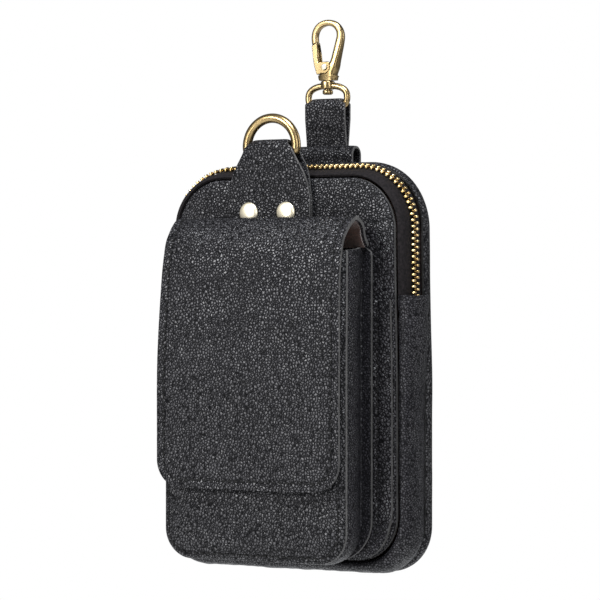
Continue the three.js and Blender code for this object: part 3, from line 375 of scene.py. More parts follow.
def wire_rings(path, half_bar, half_thick, sides, power=2.0, closed=False, ends=None):
    """Rings round a path of (x, y, z) rows in an X-Z plane."""
    path = np.array(path, float)
    if closed:
        step = np.roll(path, -1, 0) - np.roll(path, 1, 0)
    else:
        step = np.gradient(path, axis=0)
    length = np.hypot(step[:, 0], step[:, 2])
    across = np.column_stack([step[:, 2] / length, 0 * length, -step[:, 0] / length])
    if ends is not None:
        across[0], across[-1] = ends
    angle = np.linspace(0, 2 * np.pi, sides, endpoint=False)
    c = np.sign(np.cos(angle)) * np.abs(np.cos(angle)) ** (2 / power)
    s = np.sign(np.sin(angle)) * np.abs(np.sin(angle)) ** (2 / power)
    bar = np.broadcast_to(half_bar, len(path))[:, None, None]
    thick = np.broadcast_to(half_thick, len(path))[:, None, None]
    deep = np.array([0, 1.0, 0])
    return path[:, None] + across[:, None] * bar * c[None, :, None] + deep * thick * s[None, :, None]


def turned(name, rows, look, closed=False):
    """A body turned about the hook's upright axis from (radius, height) rows."""
    rings = [
        [(r * math.cos(a), HOOK_PLANE + r * math.sin(a), z) for a in circle(48)] for r, z in rows
    ]
    return swept(name, rings, closed, (look,))


def turned_across(name, rows, centre, look, sides=48):
    """A body turned about a line along Y, at centre in X and Z, from (radius, y) rows."""
    rings = [
        [(centre[0] + r * math.cos(a), y, centre[1] + r * math.sin(a)) for a in circle(sides)]
        for r, y in rows
    ]
    return swept(name, rings, False, (look,))


def u_path(half, end, base, radius, sides=40, arcs=20, bottoms=24):
    """A U in X-Z from its right end round to its left end. A base above the ends makes an arch."""
    up = math.copysign(1, base - end)
    turn = base - up * radius
    side = [(half, z) for z in np.linspace(end, turn, sides, endpoint=False)]
    angles = np.linspace(0, math.pi / 2, arcs, endpoint=False)
    arc = [
        (half - radius + radius * math.cos(a), turn + up * radius * math.sin(a)) for a in angles
    ]
    flat = [(x, base) for x in np.linspace(half - radius, 0, bottoms, endpoint=False)]
    right = np.array(side + arc + flat)
    return np.vstack([right, [[0, base]], right[::-1] * [-1, 1]])


def outline(half, bottom, top, bottom_radius, top_radius, middle, **steps):
    upper = u_path(half, middle, top, top_radius, **steps)
    lower = u_path(half, middle, bottom, bottom_radius, **steps)
    return np.vstack([upper, lower[1:-1][::-1]])


def at_depth(flat, y):
    """Points in X-Z set at a place in Y."""
    return np.column_stack([flat[:, 0], np.broadcast_to(y, len(flat)), flat[:, 1]])


def body_shape(side, top=None, foot=None):
    """The main body's outline at distances out from the front panel's edge."""
    top = side if top is None else top
    foot = side if foot is None else foot
    return {
        "half": PANEL_WIDTH / 2 + side,
        "bottom": PANEL_BOTTOM - foot,
        "top": PANEL_TOP + top,
        "bottom_radius": max(PANEL_BOTTOM_RADIUS + min(foot, 0), 0.6),
        "top_radius": max(PANEL_TOP_RADIUS + (top if top < 0 else TOP_RADIUS_GROWTH * top), 0.6),
        "middle": ZIP_END,
    }


def width_share(z):
    """The body narrows a little towards its top."""
    return 1 - TAPER * smoothstep((z - TAPER_LOW) / (TAPER_HIGH - TAPER_LOW))


def tapered(points):
    return points * np.stack([width_share(points[:, 2]), *np.ones((2, len(points)))], axis=1)


def body_ring(y, *reach):
    """A closed ring round the main body at a place in Y."""
    return tapered(at_depth(outline(**body_shape(*reach)), y))


def panel_inset(x, z):
    """How far points lie inside the front panel's edge."""
    below = z < ZIP_END
    radius = np.where(below, PANEL_BOTTOM_RADIUS, PANEL_TOP_RADIUS)
    across = np.abs(x) / width_share(z) - (PANEL_WIDTH / 2 - radius)
    upward = np.where(below, PANEL_BOTTOM + radius - z, z - (PANEL_TOP - radius))
    corner = np.hypot(np.maximum(across, 0), np.maximum(upward, 0))
    return radius - corner - np.minimum(np.maximum(across, upward), 0)


def panel_face(inset):
    """Where the front panel's face lies in Y at a distance inside its edge."""
    t = np.clip(np.asarray(inset) / PANEL_CONTOUR, 0, 1)
    return mix(PANEL_ROLL, PANEL_FACE, (1 - (1 - t) ** 2) ** 0.4)


def seam(distance, place, depth=0.35, width=0.75):
    """A groove pressed into leather along a seam."""
    return -depth * np.exp(-(((distance - place) / width) ** 2))


def stitches(name, path, way, slot):
    """Stitches along a line of points, each a small thread lying in leather that faces way."""
    path = np.array(path, float)
    normals = np.broadcast_to(way, path.shape)
    along = lengths(path)
    count = max(int(round(along[-1] / STITCH_PITCH)), 1)
    centres = (np.arange(count) + 0.5) * along[-1] / count
    half = STITCH_LENGTH / 2

    def spot(where):
        return np.array([np.interp(where, along, column) for column in path.T])

    faces = []
    points = []
    for centre in centres:
        low, high = spot(max(centre - half, 0)), spot(min(centre + half, along[-1]))
        axis = (high - low) / max(np.linalg.norm(high - low), 1e-9)
        k = int(np.clip(np.searchsorted(along, centre), 0, len(normals) - 1))
        up = normals[k] - axis * np.dot(normals[k], axis)
        up /= np.linalg.norm(up)
        side = np.cross(axis, up)
        first = len(points)
        for i in range(STITCH_RINGS):
            t = -1 + 2 * (i + 0.5) / STITCH_RINGS
            bulge = math.sqrt(max(1 - abs(t) ** 3.2, 0.02)) * STITCH_WIDTH / 2
            middle = spot(centre) + (axis + side * STITCH_SLANT) * t * half
            middle += up * STITCH_LIFT * (1 - t * t)
            for a in circle(STITCH_SIDES):
                out = side * math.cos(a) + up * math.sin(a) * 2 * STITCH_DEPTH
                points.append(middle + out * bulge)
        for i in range(STITCH_RINGS - 1):
            for j in range(STITCH_SIDES):
                m = (j + 1) % STITCH_SIDES
                a = first + i * STITCH_SIDES
                faces.append((a + j, a + m, a + STITCH_SIDES + m, a + STITCH_SIDES + j))
        last = first + (STITCH_RINGS - 1) * STITCH_SIDES
        faces.append(tuple(first + j for j in reversed(range(STITCH_SIDES))))
        faces.append(tuple(last + j for j in range(STITCH_SIDES)))
    run = bag_mesh(name, points, faces, [0] * len(faces), (thread,), smooth_angle=80)
    finish_piece(run, "bag", slot)


def stitched_box(name, y, half, low, high):
    """A box of stitches on the back of a strap."""
    box = [(-half, low), (half, low), (half, high), (-half, high), (-half, low)]
    stitches(name, even([(x, y, z) for x, z in box], 120), BACKWARD, "grain_leather")


# Materials


class Look:
    """A node material with a Principled shader, built up by short calls."""

    def __init__(self, name, colour, roughness, metallic=0.0, specular=0.5):
        self.material = bpy.data.materials.new(name)
        self.material.use_nodes = True
        self.tree = self.material.node_tree
        self.shader = self.tree.nodes["Principled BSDF"]
        self.shader.inputs["Base Color"].default_value = (*colour, 1)
        self.shader.inputs["Roughness"].default_value = roughness
        self.shader.inputs["Metallic"].default_value = metallic
        self.shader.inputs["Specular IOR Level"].default_value = specular
        self.place = self.node("ShaderNodeTexCoord").outputs["Object"]

    def node(self, kind, **values):
        made = self.tree.nodes.new(kind)
        for key, value in values.items():
            setattr(made, key, value)
        return made

    def link(self, source, target):
        self.tree.links.new(source, target)

    def math(self, operation, a, b=0.0):
        made = self.node("ShaderNodeMath", operation=operation)
        for socket, value in zip(made.inputs, (a, b)):
            if isinstance(value, (int, float)):
                socket.default_value = value
            else:
                self.link(value, socket)
        return made.outputs[0]

    def ramp(self, source, stops):
        made = self.node("ShaderNodeValToRGB")
        elements = made.color_ramp.elements
        while len(elements) < len(stops):
            elements.new(0.5)
        for element, (place, value) in zip(elements, stops):
            element.position = place
            element.color = (*value, 1) if isinstance(value, tuple) else (value, value, value, 1)
        self.link(source, made.inputs[0])
        return made.outputs[0]

    def noise(self, scale, detail, roughness=0.5):
        made = self.node("ShaderNodeTexNoise")
        made.inputs["Scale"].default_value = scale
        made.inputs["Detail"].default_value = detail
        made.inputs["Roughness"].default_value = roughness
        self.link(self.place, made.inputs["Vector"])
        return made

    def warped(self, scale, amount):
        """Object coordinates pushed about by noise, so that cells lose their straight sides."""
        push = self.noise(scale, 2.0).outputs["Color"]
        centred = self.node("ShaderNodeVectorMath", operation="SUBTRACT")
        self.link(push, centred.inputs[0])
        centred.inputs[1].default_value = (0.5, 0.5, 0.5)
        scaled = self.node("ShaderNodeVectorMath", operation="SCALE")
        self.link(centred.outputs[0], scaled.inputs[0])
        scaled.inputs["Scale"].default_value = amount
        moved = self.node("ShaderNodeVectorMath", operation="ADD")
        self.link(self.place, moved.inputs[0])
        self.link(scaled.outputs[0], moved.inputs[1])
        return moved.outputs[0]

    def cells(self, place, scale):
        made = self.node("ShaderNodeTexVoronoi", feature="DISTANCE_TO_EDGE")
        made.inputs["Scale"].default_value = scale
        self.link(place, made.inputs["Vector"])
        return made.outputs["Distance"]

    def bump(self, height, distance):
        made = self.node("ShaderNodeBump")
        made.inputs["Distance"].default_value = distance
        self.link(height, made.inputs["Height"])
        self.link(made.outputs["Normal"], self.shader.inputs["Normal"])

    def colour(self, source):
        self.link(source, self.shader.inputs["Base Color"])

    def rough(self, source):
        self.link(source, self.shader.inputs["Roughness"])


def leather_look(name, cell, depth, dark, light, roughness, crease=0.5, shine=0.5):
    """Pebbled leather: raised cells of about cell millimetres with creases between them, the colour
    painted darker into the creases as painted shade.
    """
    look = Look(name, light, roughness)
    place = look.warped(0.45 / (cell * MM), 0.45 * cell * MM)
    edge = look.cells(place, 1 / (cell * MM))
    pebble = look.ramp(edge, [(0.0, 0.0), (0.12, 0.3), (0.3, 0.85), (0.55, 1.0)])
    wide = look.noise(0.42 / (cell * MM), 2).outputs[0]
    patch = look.ramp(look.noise(60, 3).outputs[0], [(0.3, 0.6), (0.7, 1.0)])
    raised = look.math("ADD", pebble, look.math("MULTIPLY", wide, crease))
    look.bump(look.math("MULTIPLY", raised, patch), depth * MM)
    # Painted shade: the colour darkens from the pebble tops down into the creases between them.
    look.colour(look.ramp(pebble, [(0.05, dark), (0.9, light)]))
    gloss = look.math("MULTIPLY", look.noise(300, 3).outputs[0], 0.2)
    look.rough(look.math("ADD", gloss, roughness - 0.1))
    facing = look.ramp(look.math("MULTIPLY", pebble, patch), [(0.1, 0.06 * shine), (0.85, shine)])
    look.link(facing, look.shader.inputs["Specular IOR Level"])
    return look.material


def edge_look():
    """Cut leather edge: rough grey fibres with paler and darker stretches."""
    look = Look("raw_edge", (0.13, 0.13, 0.135), 0.75)
    fibre = look.noise(2600, 4, roughness=0.8).outputs[0]
    long = look.noise(160, 2).outputs[0]
    mixed = look.math("ADD", look.math("MULTIPLY", fibre, 0.6), look.math("MULTIPLY", long, 0.5))
    look.colour(look.ramp(mixed, [(0.32, (0.006, 0.006, 0.006)), (0.72, (0.055, 0.053, 0.052))]))
    look.bump(fibre, 0.12 * MM)
    return look.material


def fibre_look(name, colour, roughness, specular, noise, depth, dark, light):
    """Fine fibres in two shades. noise is their scale, detail and roughness."""
    look = Look(name, colour, roughness, specular=specular)
    fibre = look.noise(*noise).outputs[0]
    look.colour(look.ramp(fibre, [dark, light]))
    look.bump(fibre, depth * MM)
    return look


def metal_look(name, dark, light, roughness, metallic=1.0):
    """Smooth brass with a faint patchy patina."""
    look = Look(name, light, roughness, metallic=metallic)
    patina = look.noise(60, 1).outputs[0]
    look.colour(look.ramp(patina, [(0.25, dark), (0.6, light)]))
    soft_mark = look.noise(120, 1).outputs[0]
    look.rough(look.math("ADD", look.math("MULTIPLY", soft_mark, 0.1), roughness - 0.05))
    return look.material


# Each leather's first colour is painted shade for its creases, and the second is the colour of its
# pebble tops.
grain = leather_look("grain_leather", 1.25, 0.3, (0.002, 0.002, 0.0023), (0.021, 0.0205, 0.023), 0.38)
soft = leather_look(
    "soft_leather", 1.1, 0.2, (0.004, 0.004, 0.0045), (0.014, 0.0135, 0.0165), 0.4, 0.4, 0.5
)
raw = edge_look()
nap = fibre_look(
    "suede",
    (0.05, 0.022, 0.014),
    0.95,
    0.2,
    (2200, 4, 0.75),
    0.25,
    (0.3, (0.01, 0.0045, 0.003)),
    (0.75, (0.055, 0.022, 0.013)),
)
nap.shader.inputs["Sheen Weight"].default_value = 0.3
suede = nap.material
tape = fibre_look(
    "tape",
    (0.01, 0.008, 0.009),
    0.85,
    0.1,
    (900, 2, 0.6),
    0.2,
    (0.3, (0.0015, 0.0013, 0.0015)),
    (0.7, (0.008, 0.0064, 0.007)),
).material
thread = fibre_look(
    "thread",
    (0.002, 0.002, 0.002),
    0.7,
    0.15,
    (3800, 2),
    0.08,
    (0.3, (0.001, 0.001, 0.001)),
    (0.8, (0.004, 0.004, 0.004)),
).material
antique = metal_look("antique_brass", (0.19, 0.135, 0.06), (0.27, 0.2, 0.1), 0.3)
pale = metal_look("pale_brass", (0.6, 0.53, 0.38), (0.7, 0.64, 0.5), 0.34, 0.8)
zip_gold = metal_look("zip_brass", (0.5, 0.35, 0.14), (0.72, 0.55, 0.28), 0.3)
# Painted shade: a darker copy of the zip brass for the teeth's necks, which sit in the recesses between
# the heads.
zip_shaded_brass = metal_look("zip_brass_neck_painted_shade", (0.18, 0.11, 0.03), (0.28, 0.17, 0.06), 0.4)

GRAINED = (grain, raw, suede)
SMOOTH = (soft, raw, suede)


# Main body


def front_panel():
    insets = [0, 0.25, 0.6, 1.1, 1.7, 2.5, 3.5, 5, 7, 9.5, 12.5, 16, 22, 30, 42]
    rings = []
    for inset in insets:
        ring = body_ring(panel_face(inset), -inset)
        ring[:, 1] += 0.25 * waves(ring, 30, 3.1) * min(inset / 5, 1)
        rings.append(ring)
    piece = dish("front_panel_leather", rings, LEATHER, GRAINED)
    finish_piece(piece, "bag", "grain_leather", "front_panel")


def trim_edge(x):
    side = np.maximum(np.abs(x) / (PANEL_WIDTH / 2) - 0.84, 0) / 0.16
    return TRIM_TOP + TRIM_CURL * side**2


def panel_layer(name, low_edge, high_edge, thickness, looks, marks, stitch_x=None):
    """A layer on the front panel, as a grid of rows up it and columns across it."""
    margin = 0.9
    half = PANEL_WIDTH / 2 - margin
    columns = graded(-1, 1, [-1, 1, *marks], 0.006, 0.04, 0.07)
    levels = graded(0, 1, [0, 1], 0.006, 0.05, 0.03)
    x0 = np.zeros(1)
    level_z = mix(low_edge(x0)[0], high_edge(x0)[0], levels)
    fall = np.maximum(PANEL_BOTTOM + PANEL_BOTTOM_RADIUS - level_z, 0)
    narrowing = np.sqrt(PANEL_BOTTOM_RADIUS**2 - fall**2) - PANEL_BOTTOM_RADIUS
    x = columns[None, :] * ((half + narrowing) * width_share(level_z))[:, None]
    z = mix(low_edge(x), high_edge(x), levels[:, None])
    face = panel_face(panel_inset(x, z)) - GAP
    grid = np.stack([x, face, z], axis=2)
    relief = 0.12 * waves(grid, 14, 7.7)
    front = grid - np.array([0, thickness, 0]) - relief[..., None] * np.array([0, 1, 0])
    if stitch_x:
        front[..., 1] -= seam(np.abs(x), stitch_x)
    points, faces, kinds = wall_parts(front, grid, False)
    return bag_mesh(name, points, faces, kinds, looks)


POCKET_STITCH = 47.3


def front_layers():
    mark = POCKET_STITCH / (PANEL_WIDTH / 2 - 0.9)
    pocket = panel_layer(
        "slip_pocket_leather",
        lambda x: trim_edge(x) - 1.5,
        lambda x: POCKET_TOP + 0 * x,
        POCKET_LEATHER,
        GRAINED,
        [-mark, mark],
        POCKET_STITCH,
    )
    finish_piece(pocket, "bag", "grain_leather", "slip_pocket", bevel=0.2)
    trim = panel_layer(
        "lower_trim_leather",
        lambda x: PANEL_BOTTOM + 1.6 + 0 * x,
        trim_edge,
        TRIM_LEATHER,
        SMOOTH,
        [-0.9, 0.9],
    )
    finish_piece(trim, "bag", "smooth_leather", "lower_trim", bevel=0.2)
    face = panel_face(8.0) - GAP - POCKET_LEATHER + 0.15
    for side, label in ((-1, "left"), (1, "right")):
        rows = np.linspace(24, POCKET_TOP - 3, 30)
        path = np.column_stack([np.full(30, side * POCKET_STITCH), np.full(30, face), rows])
        stitches(f"pocket_stitches_{label}", path, FORWARD, "smooth_leather")
        x = side * np.linspace(45.5, 52.2, 12)
        z = trim_edge(x) - 2.4
        y = panel_face(panel_inset(x, z)) - GAP - TRIM_LEATHER
        path = np.column_stack([x, y, z])
        stitches(f"trim_stitches_{label}", path, FORWARD, "smooth_leather")


def puff(z):
    return GUSSET_PUFF * np.exp(-(((ZIP_END - z) / PUFF_REACH) ** 2))


# Side, foot and back of each row across the gussets, as shares of the reaches and the body's depth
FRONT_GUSSET_SECTION = [
    (0.1, 0.1, 0.115),
    (0.2, 0.2, 0.05),
    (0.44, 0.44, 0.027),
    (0.73, 0.73, 0.085),
    (0.92, 0.92, 0.208),
    (1, 1, 0.37),
    (0.975, 0.975, 0.508),
    (0.84, 0.84, 0.638),
]
# Side, top, foot and back
BACK_GUSSET_SECTION = [
    (0.85, 0.87, 0.8, 0.662),
    (0.97, 0.96, 0.95, 0.708),
    (1, 1, 1, 0.785),
    (0.91, 0.94, 0.9, 0.869),
    (0.74, 0.78, 0.72, 0.946),
    (0.515, 0.59, 0.5, 1),
]
# Share of the zip's width, then side, top and back
ZIP_SECTION = [
    (0, 0.227, 0.19, 0.066),
    (0.122, 0.52, 0.29, 0.108),
    (0.268, 0.64, 0.41, 0.19),
    (0.456, 0.66, 0.52, 0.31),
    (0.628, 0.655, 0.6, 0.415),
    (0.854, 0.65, 0.71, 0.555),
    (1, 0.65, 0.79, 0.646),
]


def front_gusset():
    """The puffed wall round the lower part, in folds where it turns the corners."""
    section = smooth_curve(FRONT_GUSSET_SECTION, 34)
    rails = []
    for side, foot, back in section:
        shape = body_shape(side * SIDE_REACH, foot=foot * FOOT_REACH)
        flat = u_path(
            shape["half"], ZIP_END, shape["bottom"], shape["bottom_radius"], 90, 34, 40
        )
        flat[:, 0] += np.sign(flat[:, 0]) * puff(flat[:, 1]) * side
        rails.append(tapered(at_depth(flat, back * BODY_DEPTH)))
    grid = np.array(rails).transpose(1, 0, 2)
    stretched = grid * np.array([1, 1, 0.35])
    relief = 0.4 * waves(grid, 22, 1.3) + 0.3 * waves(stretched, 4.5, 5.1)
    share = np.abs(np.linspace(-1, 1, len(grid)))[:, None]
    below = (1 - share) * 190
    hem = 0.3 * np.exp(-(((below - 3.5) / 3) ** 2)) - 0.35 * np.exp(-(((below - 9) / 1.2) ** 2))
    piece = wall("front_gusset_leather", grid, -LEATHER, SMOOTH, relief=relief + hem)
    finish_piece(piece, "bag", "smooth_leather", "front_gusset", bevel=0.3)


def back_gusset():
    section = smooth_curve(BACK_GUSSET_SECTION, 30)
    rails = [
        body_ring(back * BODY_DEPTH, side * SIDE_REACH, top * TOP_REACH, foot * FOOT_REACH)
        for side, top, foot, back in section
    ]
    last = section[-1][:3] * np.array([SIDE_REACH, TOP_REACH, FOOT_REACH])
    for share in (0.15, 0.5, 1.0):
        rails.append(body_ring(BODY_DEPTH, *mix(last, BACK_EDGE - BACK_LIP, share)))
    grid = np.array(rails).transpose(1, 0, 2)
    relief = 0.3 * waves(grid, 26, 9.4)
    piece = wall("back_gusset_leather", grid, LEATHER, GRAINED, loop=True, relief=relief)
    finish_piece(piece, "bag", "grain_leather", "back_gusset", bevel=0.25)


BACK_STITCH = 3.2


def back_panel():
    insets = [0, 0.5, 1, 1.6, 2.2, 2.7, 3.2, 3.7, 4.2, 5, 6.5, 9, 14, 22, 32, 44]
    rings = []
    for inset in insets:
        lift = 0.35 * smoothstep((inset - 4) / 12) + seam(inset, BACK_STITCH)
        y = BODY_DEPTH + GAP + LEATHER + lift
        rings.append(body_ring(y, BACK_EDGE - inset))
    for ring in rings[9:]:
        ring[:, 1] += 0.2 * waves(ring, 24, 2.2) - 0.1
    piece = dish("back_panel_leather", rings, -LEATHER, GRAINED)
    finish_piece(piece, "bag", "grain_leather", "back_panel", bevel=0.25)
    path = body_ring(BODY_DEPTH + GAP + LEATHER - 0.2, BACK_EDGE - BACK_STITCH)
    path = np.vstack([path, path[:1]])
    stitches("back_panel_stitches", path, BACKWARD, "grain_leather")


# Zip

ZIP_LINE = smooth_curve(ZIP_SECTION, 200)


def zip_rail(along, end, steps):
    """A line round the top at a share of the zip's width."""
    side, top, back = (np.interp(along, ZIP_LINE[:, 0], ZIP_LINE[:, k]) for k in (1, 2, 3))
    shape = body_shape(side * SIDE_REACH, top * TOP_REACH)
    flat = u_path(shape["half"], end, shape["top"], shape["top_radius"], *steps)
    return at_depth(flat, back * BODY_DEPTH)


def zip_tape(name, node, start, stop):
    rails = [
        tapered(zip_rail(along, ZIP_END - 3, (30, 26, 24))) for along in np.linspace(start, stop, 13)
    ]
    grid = np.array(rails).transpose(1, 0, 2)
    relief = 0.12 * waves(grid, 9, 4.2)
    piece = wall(name, grid, TAPE, (tape, tape, tape), relief=relief)
    finish_piece(piece, "bag", "zip_tape", node)


def tooth_parts():
    """A tooth's head and neck as boxes: across the chain, up from the tape, along the chain."""
    head = ((0.75, CHAIN_WIDTH / 2), (GAP, GAP + CHAIN_THICKNESS), 1.06)
    neck = ((-0.62, 0.95), (GAP, GAP + 0.72 * CHAIN_THICKNESS), 0.74)
    points = []
    faces = []
    kinds = []
    for kind, (across, up, along) in enumerate((head, neck)):
        build = bmesh.new()
        bmesh.ops.create_cube(build, size=1.0)
        for v in build.verts:
            v.co.x = across[1] if v.co.x > 0 else across[0]
            v.co.y = up[1] if v.co.y > 0 else up[0]
            v.co.z *= along
        bmesh.ops.bevel(
            build, geom=build.edges[:], offset=0.3, segments=2, profile=0.6, affect="EDGES"
        )
        first = len(points)
        points += [v.co[:] for v in build.verts]
        faces += [tuple(first + v.index for v in f.verts) for f in build.faces]
        kinds += [kind] * len(build.faces)
        build.free()
    return np.array(points), faces, kinds


def zip_teeth():
    reach = CHAIN_WIDTH / 2 / ZIP_WIDTH
    low, high = (zip_rail(CHAIN_PLACE + way * reach, ZIP_END - 4, (60, 60, 40)) for way in (-1, 1))
    length = np.linalg.norm(np.diff(low, axis=0), axis=1).sum()
    count = int(length / (TOOTH_PITCH / 2)) + 1
    low, high = (tapered(even(rail, count)) for rail in (low, high))
    across_way = high - low
    across_way /= np.linalg.norm(across_way, axis=1, keepdims=True)
    forward_way = np.gradient((low + high) / 2, axis=0)
    forward_way /= np.linalg.norm(forward_way, axis=1, keepdims=True)
    up_way = np.cross(across_way, forward_way)
    outward = np.sum(up_way * (low * [1, 0, 1] - [0, 0, PANEL_TOP / 2]), axis=1, keepdims=True)
    up_way *= np.sign(outward)
    tooth, tooth_faces, tooth_kinds = tooth_parts()
    points = []
    faces = []
    kinds = []
    for n in range(count):
        side = 1 if n % 2 else -1
        across, up, along = tooth.T
        placed = (
            (low[n] + high[n]) / 2
            + np.outer(side * across, across_way[n])
            + np.outer(up, up_way[n])
            + np.outer(along, forward_way[n])
        )
        first = len(points)
        points.extend(placed)
        faces += [tuple(first + v for v in f) for f in tooth_faces]
        kinds += tooth_kinds
    # The necks take the darker brass copy, painted shade between the heads.
    looks = (zip_gold, zip_shaded_brass)
    piece = bag_mesh("zip_chain", points, faces, kinds, looks, smooth_angle=60)
    finish_piece(piece, "bag", "zip_brass", "zip_teeth")


def zip_slider():
    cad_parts["zip_slider"].data.materials.clear()
    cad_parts["zip_slider"].data.materials.append(zip_gold)


# Pouch

POUCH_STITCH = 2.7
POUCH_CONTOUR = 16.0


def leant(points):
    """The pouch and its flap lean back and narrow towards the top."""
    x, y, z = points.T
    depth = np.clip((FLANGE_FACE - y) / POUCH_DEPTH, 0, 1)
    lean = smoothstep((z - LEAN_START) / (POUCH_TOP - LEAN_START)) * depth
    return np.column_stack([x * (1 - POUCH_SQUEEZE * lean), y + POUCH_LEAN * lean, z])


def pouch_outline(inset):
    return outline(
        POUCH_WIDTH / 2 - inset,
        PANEL_BOTTOM + inset,
        POUCH_TOP - min(inset, 3),
        max(POUCH_RADIUS - inset, 0.6),
        0.8,
        POUCH_TOP / 2,
    )


def pouch_front():
    insets = [0, 0.3, 0.7, 1.2, 1.7, 2.1, 2.4, 2.7, 3, 3.3, 3.7, 4.3]
    insets += [5.2, 6.5, 8, 10, 12.5, 16, 21, 28, 36, 42]
    rings = []
    for inset in insets:
        t = min(inset / POUCH_CONTOUR, 1)
        rise = (1 - (1 - t) ** 2) ** 0.62
        ring = at_depth(pouch_outline(inset), POUCH_FACE - POUCH_DOME * rise)
        ring[:, 1] -= seam(inset, POUCH_STITCH)
        ring[:, 1] += 0.2 * waves(ring, 20, 6.3) * t
        rings.append(leant(ring))
    piece = dish("pouch_front_leather", rings, POUCH_LEATHER, GRAINED)
    finish_piece(piece, "bag", "grain_leather", "pouch_front", bevel=0.25)
    t = POUCH_STITCH / POUCH_CONTOUR
    y = POUCH_FACE - POUCH_DOME * (1 - (1 - t) ** 2) ** 0.62 + 0.2
    flat = u_path(
        POUCH_WIDTH / 2 - POUCH_STITCH,
        POUCH_TOP - 3,
        PANEL_BOTTOM + POUCH_STITCH,
        POUCH_RADIUS - POUCH_STITCH,
    )
    stitches("pouch_stitches", leant(at_depth(flat, y)), FORWARD, "grain_leather")


POUCH_GUSSET_SECTION = [
    (0.1, 0.095),
    (-0.14, 0.3),
    (-0.08, 0.52),
    (0.22, 0.74),
    (0.62, 0.88),
    (0.92, 0.965),
]


def pouch_gusset():
    """The pouch's bulging side wall with its flange, whose top corners are rounded."""
    wall_rows = [(-w * POUCH_WAIST, POUCH_FACE + d * POUCH_DEPTH, d) for w, d in POUCH_GUSSET_SECTION]
    section = list(smooth_curve(wall_rows, 26))
    valley = section[-1][0]
    for out in np.linspace(valley + 0.5, FLANGE_WIDTH - POUCH_WAIST, 12):
        section.append((out, FLANGE_FACE, 1.0))
    rails = []
    for out, y, depth in section:
        waist = max(-out / POUCH_WAIST, 0) if depth < 1 else 1
        lift = waist * FLANGE_LIFT
        base = PANEL_BOTTOM - out + lift - POUCH_WAIST * waist * 0.5
        end = POUCH_TOP + depth * POUCH_TOP_RISE
        flat = u_path(POUCH_WIDTH / 2 + out, end, base, POUCH_RADIUS + out + lift, 60, 26, 30)
        if depth >= 1:
            below = np.clip((end - flat[:, 1]) / FLANGE_CORNER, 0, 1)
            kept = mix(FLANGE_CORNER_WIDTH, 1, np.sqrt(1 - (1 - below) ** 2))
            root = POUCH_WIDTH / 2 + valley
            side = np.abs(flat[:, 0]) > root
            moved = root + (np.abs(flat[:, 0]) - root) * kept
            flat[:, 0] = np.where(side, np.sign(flat[:, 0]) * moved, flat[:, 0])
        rails.append(leant(at_depth(flat, y)))
    grid = np.array(rails).transpose(1, 0, 2)
    relief = 0.3 * waves(grid, 24, 8.8) * np.sin(np.linspace(0, np.pi, grid.shape[1]))[None, :]
    piece = wall("pouch_gusset_leather", grid, -POUCH_LEATHER, SMOOTH, relief=relief)
    finish_piece(piece, "bag", "smooth_leather", "pouch_gusset", bevel=0.2)


# Flap

FLAP_ROOT = [(-1.22, 0), (-0.25, 0.15), (0.12, 0.75), (0.44, 1.7)]
FLAP_TOP = [(0.27, 0.72), (0.38, 0.93), (0.52, 1), (0.67, 0.83), (0.818, 0.53), (0.907, 0.23)]
FLAP_FRONT = [(0.977, 0.174), (1, 0.25), (1, 0.4), (1, 0.6), (1, 0.8), (1, 1)]
FLAP_STITCH = 3.6


def flap_line(count):
    root = PANEL_FACE - GAP
    rows = [(root - stack * TAB_STACK, POUCH_TOP + rise * FLAP_ARCH) for rise, stack in FLAP_ROOT]
    front = [(0, reach * FLAP_FACE, POUCH_TOP + rise * FLAP_ARCH) for reach, rise in FLAP_TOP]
    top = POUCH_TOP + FLAP_ARCH
    front += [(0, reach * FLAP_FACE, top - drop * FLAP_DROP) for reach, drop in FLAP_FRONT]
    rows += [(y, z) for _, y, z in leant(np.array(front))]
    return smooth_curve(rows, count)


def squeezed(x, y, z):
    """Places across the flap, which narrows with the pouch."""
    rise = smoothstep((z - LEAN_START) / (POUCH_TOP - LEAN_START))
    return x * (1 - POUCH_SQUEEZE * rise * np.clip((FLANGE_FACE - y) / POUCH_DEPTH, 0, 1))


def flap_sheet(margin):
    """The flap's surface as a grid, with each point's distance along, across and inside its edge."""
    line = flap_line(600)
    run = lengths(line)
    length = run[-1]
    along = graded(0, length - margin, [length, length - FLAP_STITCH], 0.42, 1.6, 3.5)
    half = np.full(len(along), FLAP_WIDTH / 2)
    half[along < FLAP_ROOT_LENGTH] = FLAP_ROOT_WIDTH / 2
    corner = np.clip(along - (length - FLAP_RADIUS), 0, FLAP_RADIUS)
    half -= FLAP_RADIUS - np.sqrt(FLAP_RADIUS**2 - corner**2)
    half -= margin
    columns = graded(-1, 1, [-1, 1, -0.92, 0.92], 0.009, 0.045, 0.07)
    x = columns[None, :] * half[:, None]
    y = np.interp(along, run, line[:, 0])
    z = np.interp(along, run, line[:, 1])
    front = smoothstep((y / FLAP_FACE - 0.6) / 0.4)
    crown = front[:, None] * FLAP_CROWN * columns[None, :] ** 6
    narrow = squeezed(x, y[:, None], z[:, None])
    grid = np.stack([narrow, y[:, None] + crown, z[:, None] + 0 * x], axis=2)
    across = np.abs(x) - (FLAP_WIDTH / 2 - FLAP_RADIUS)
    down = along[:, None] - (length - FLAP_RADIUS) + 0 * x
    corner = np.hypot(np.maximum(across, 0), np.maximum(down, 0))
    inset = FLAP_RADIUS - corner - np.minimum(np.maximum(across, down), 0)
    return grid, inset, along, length


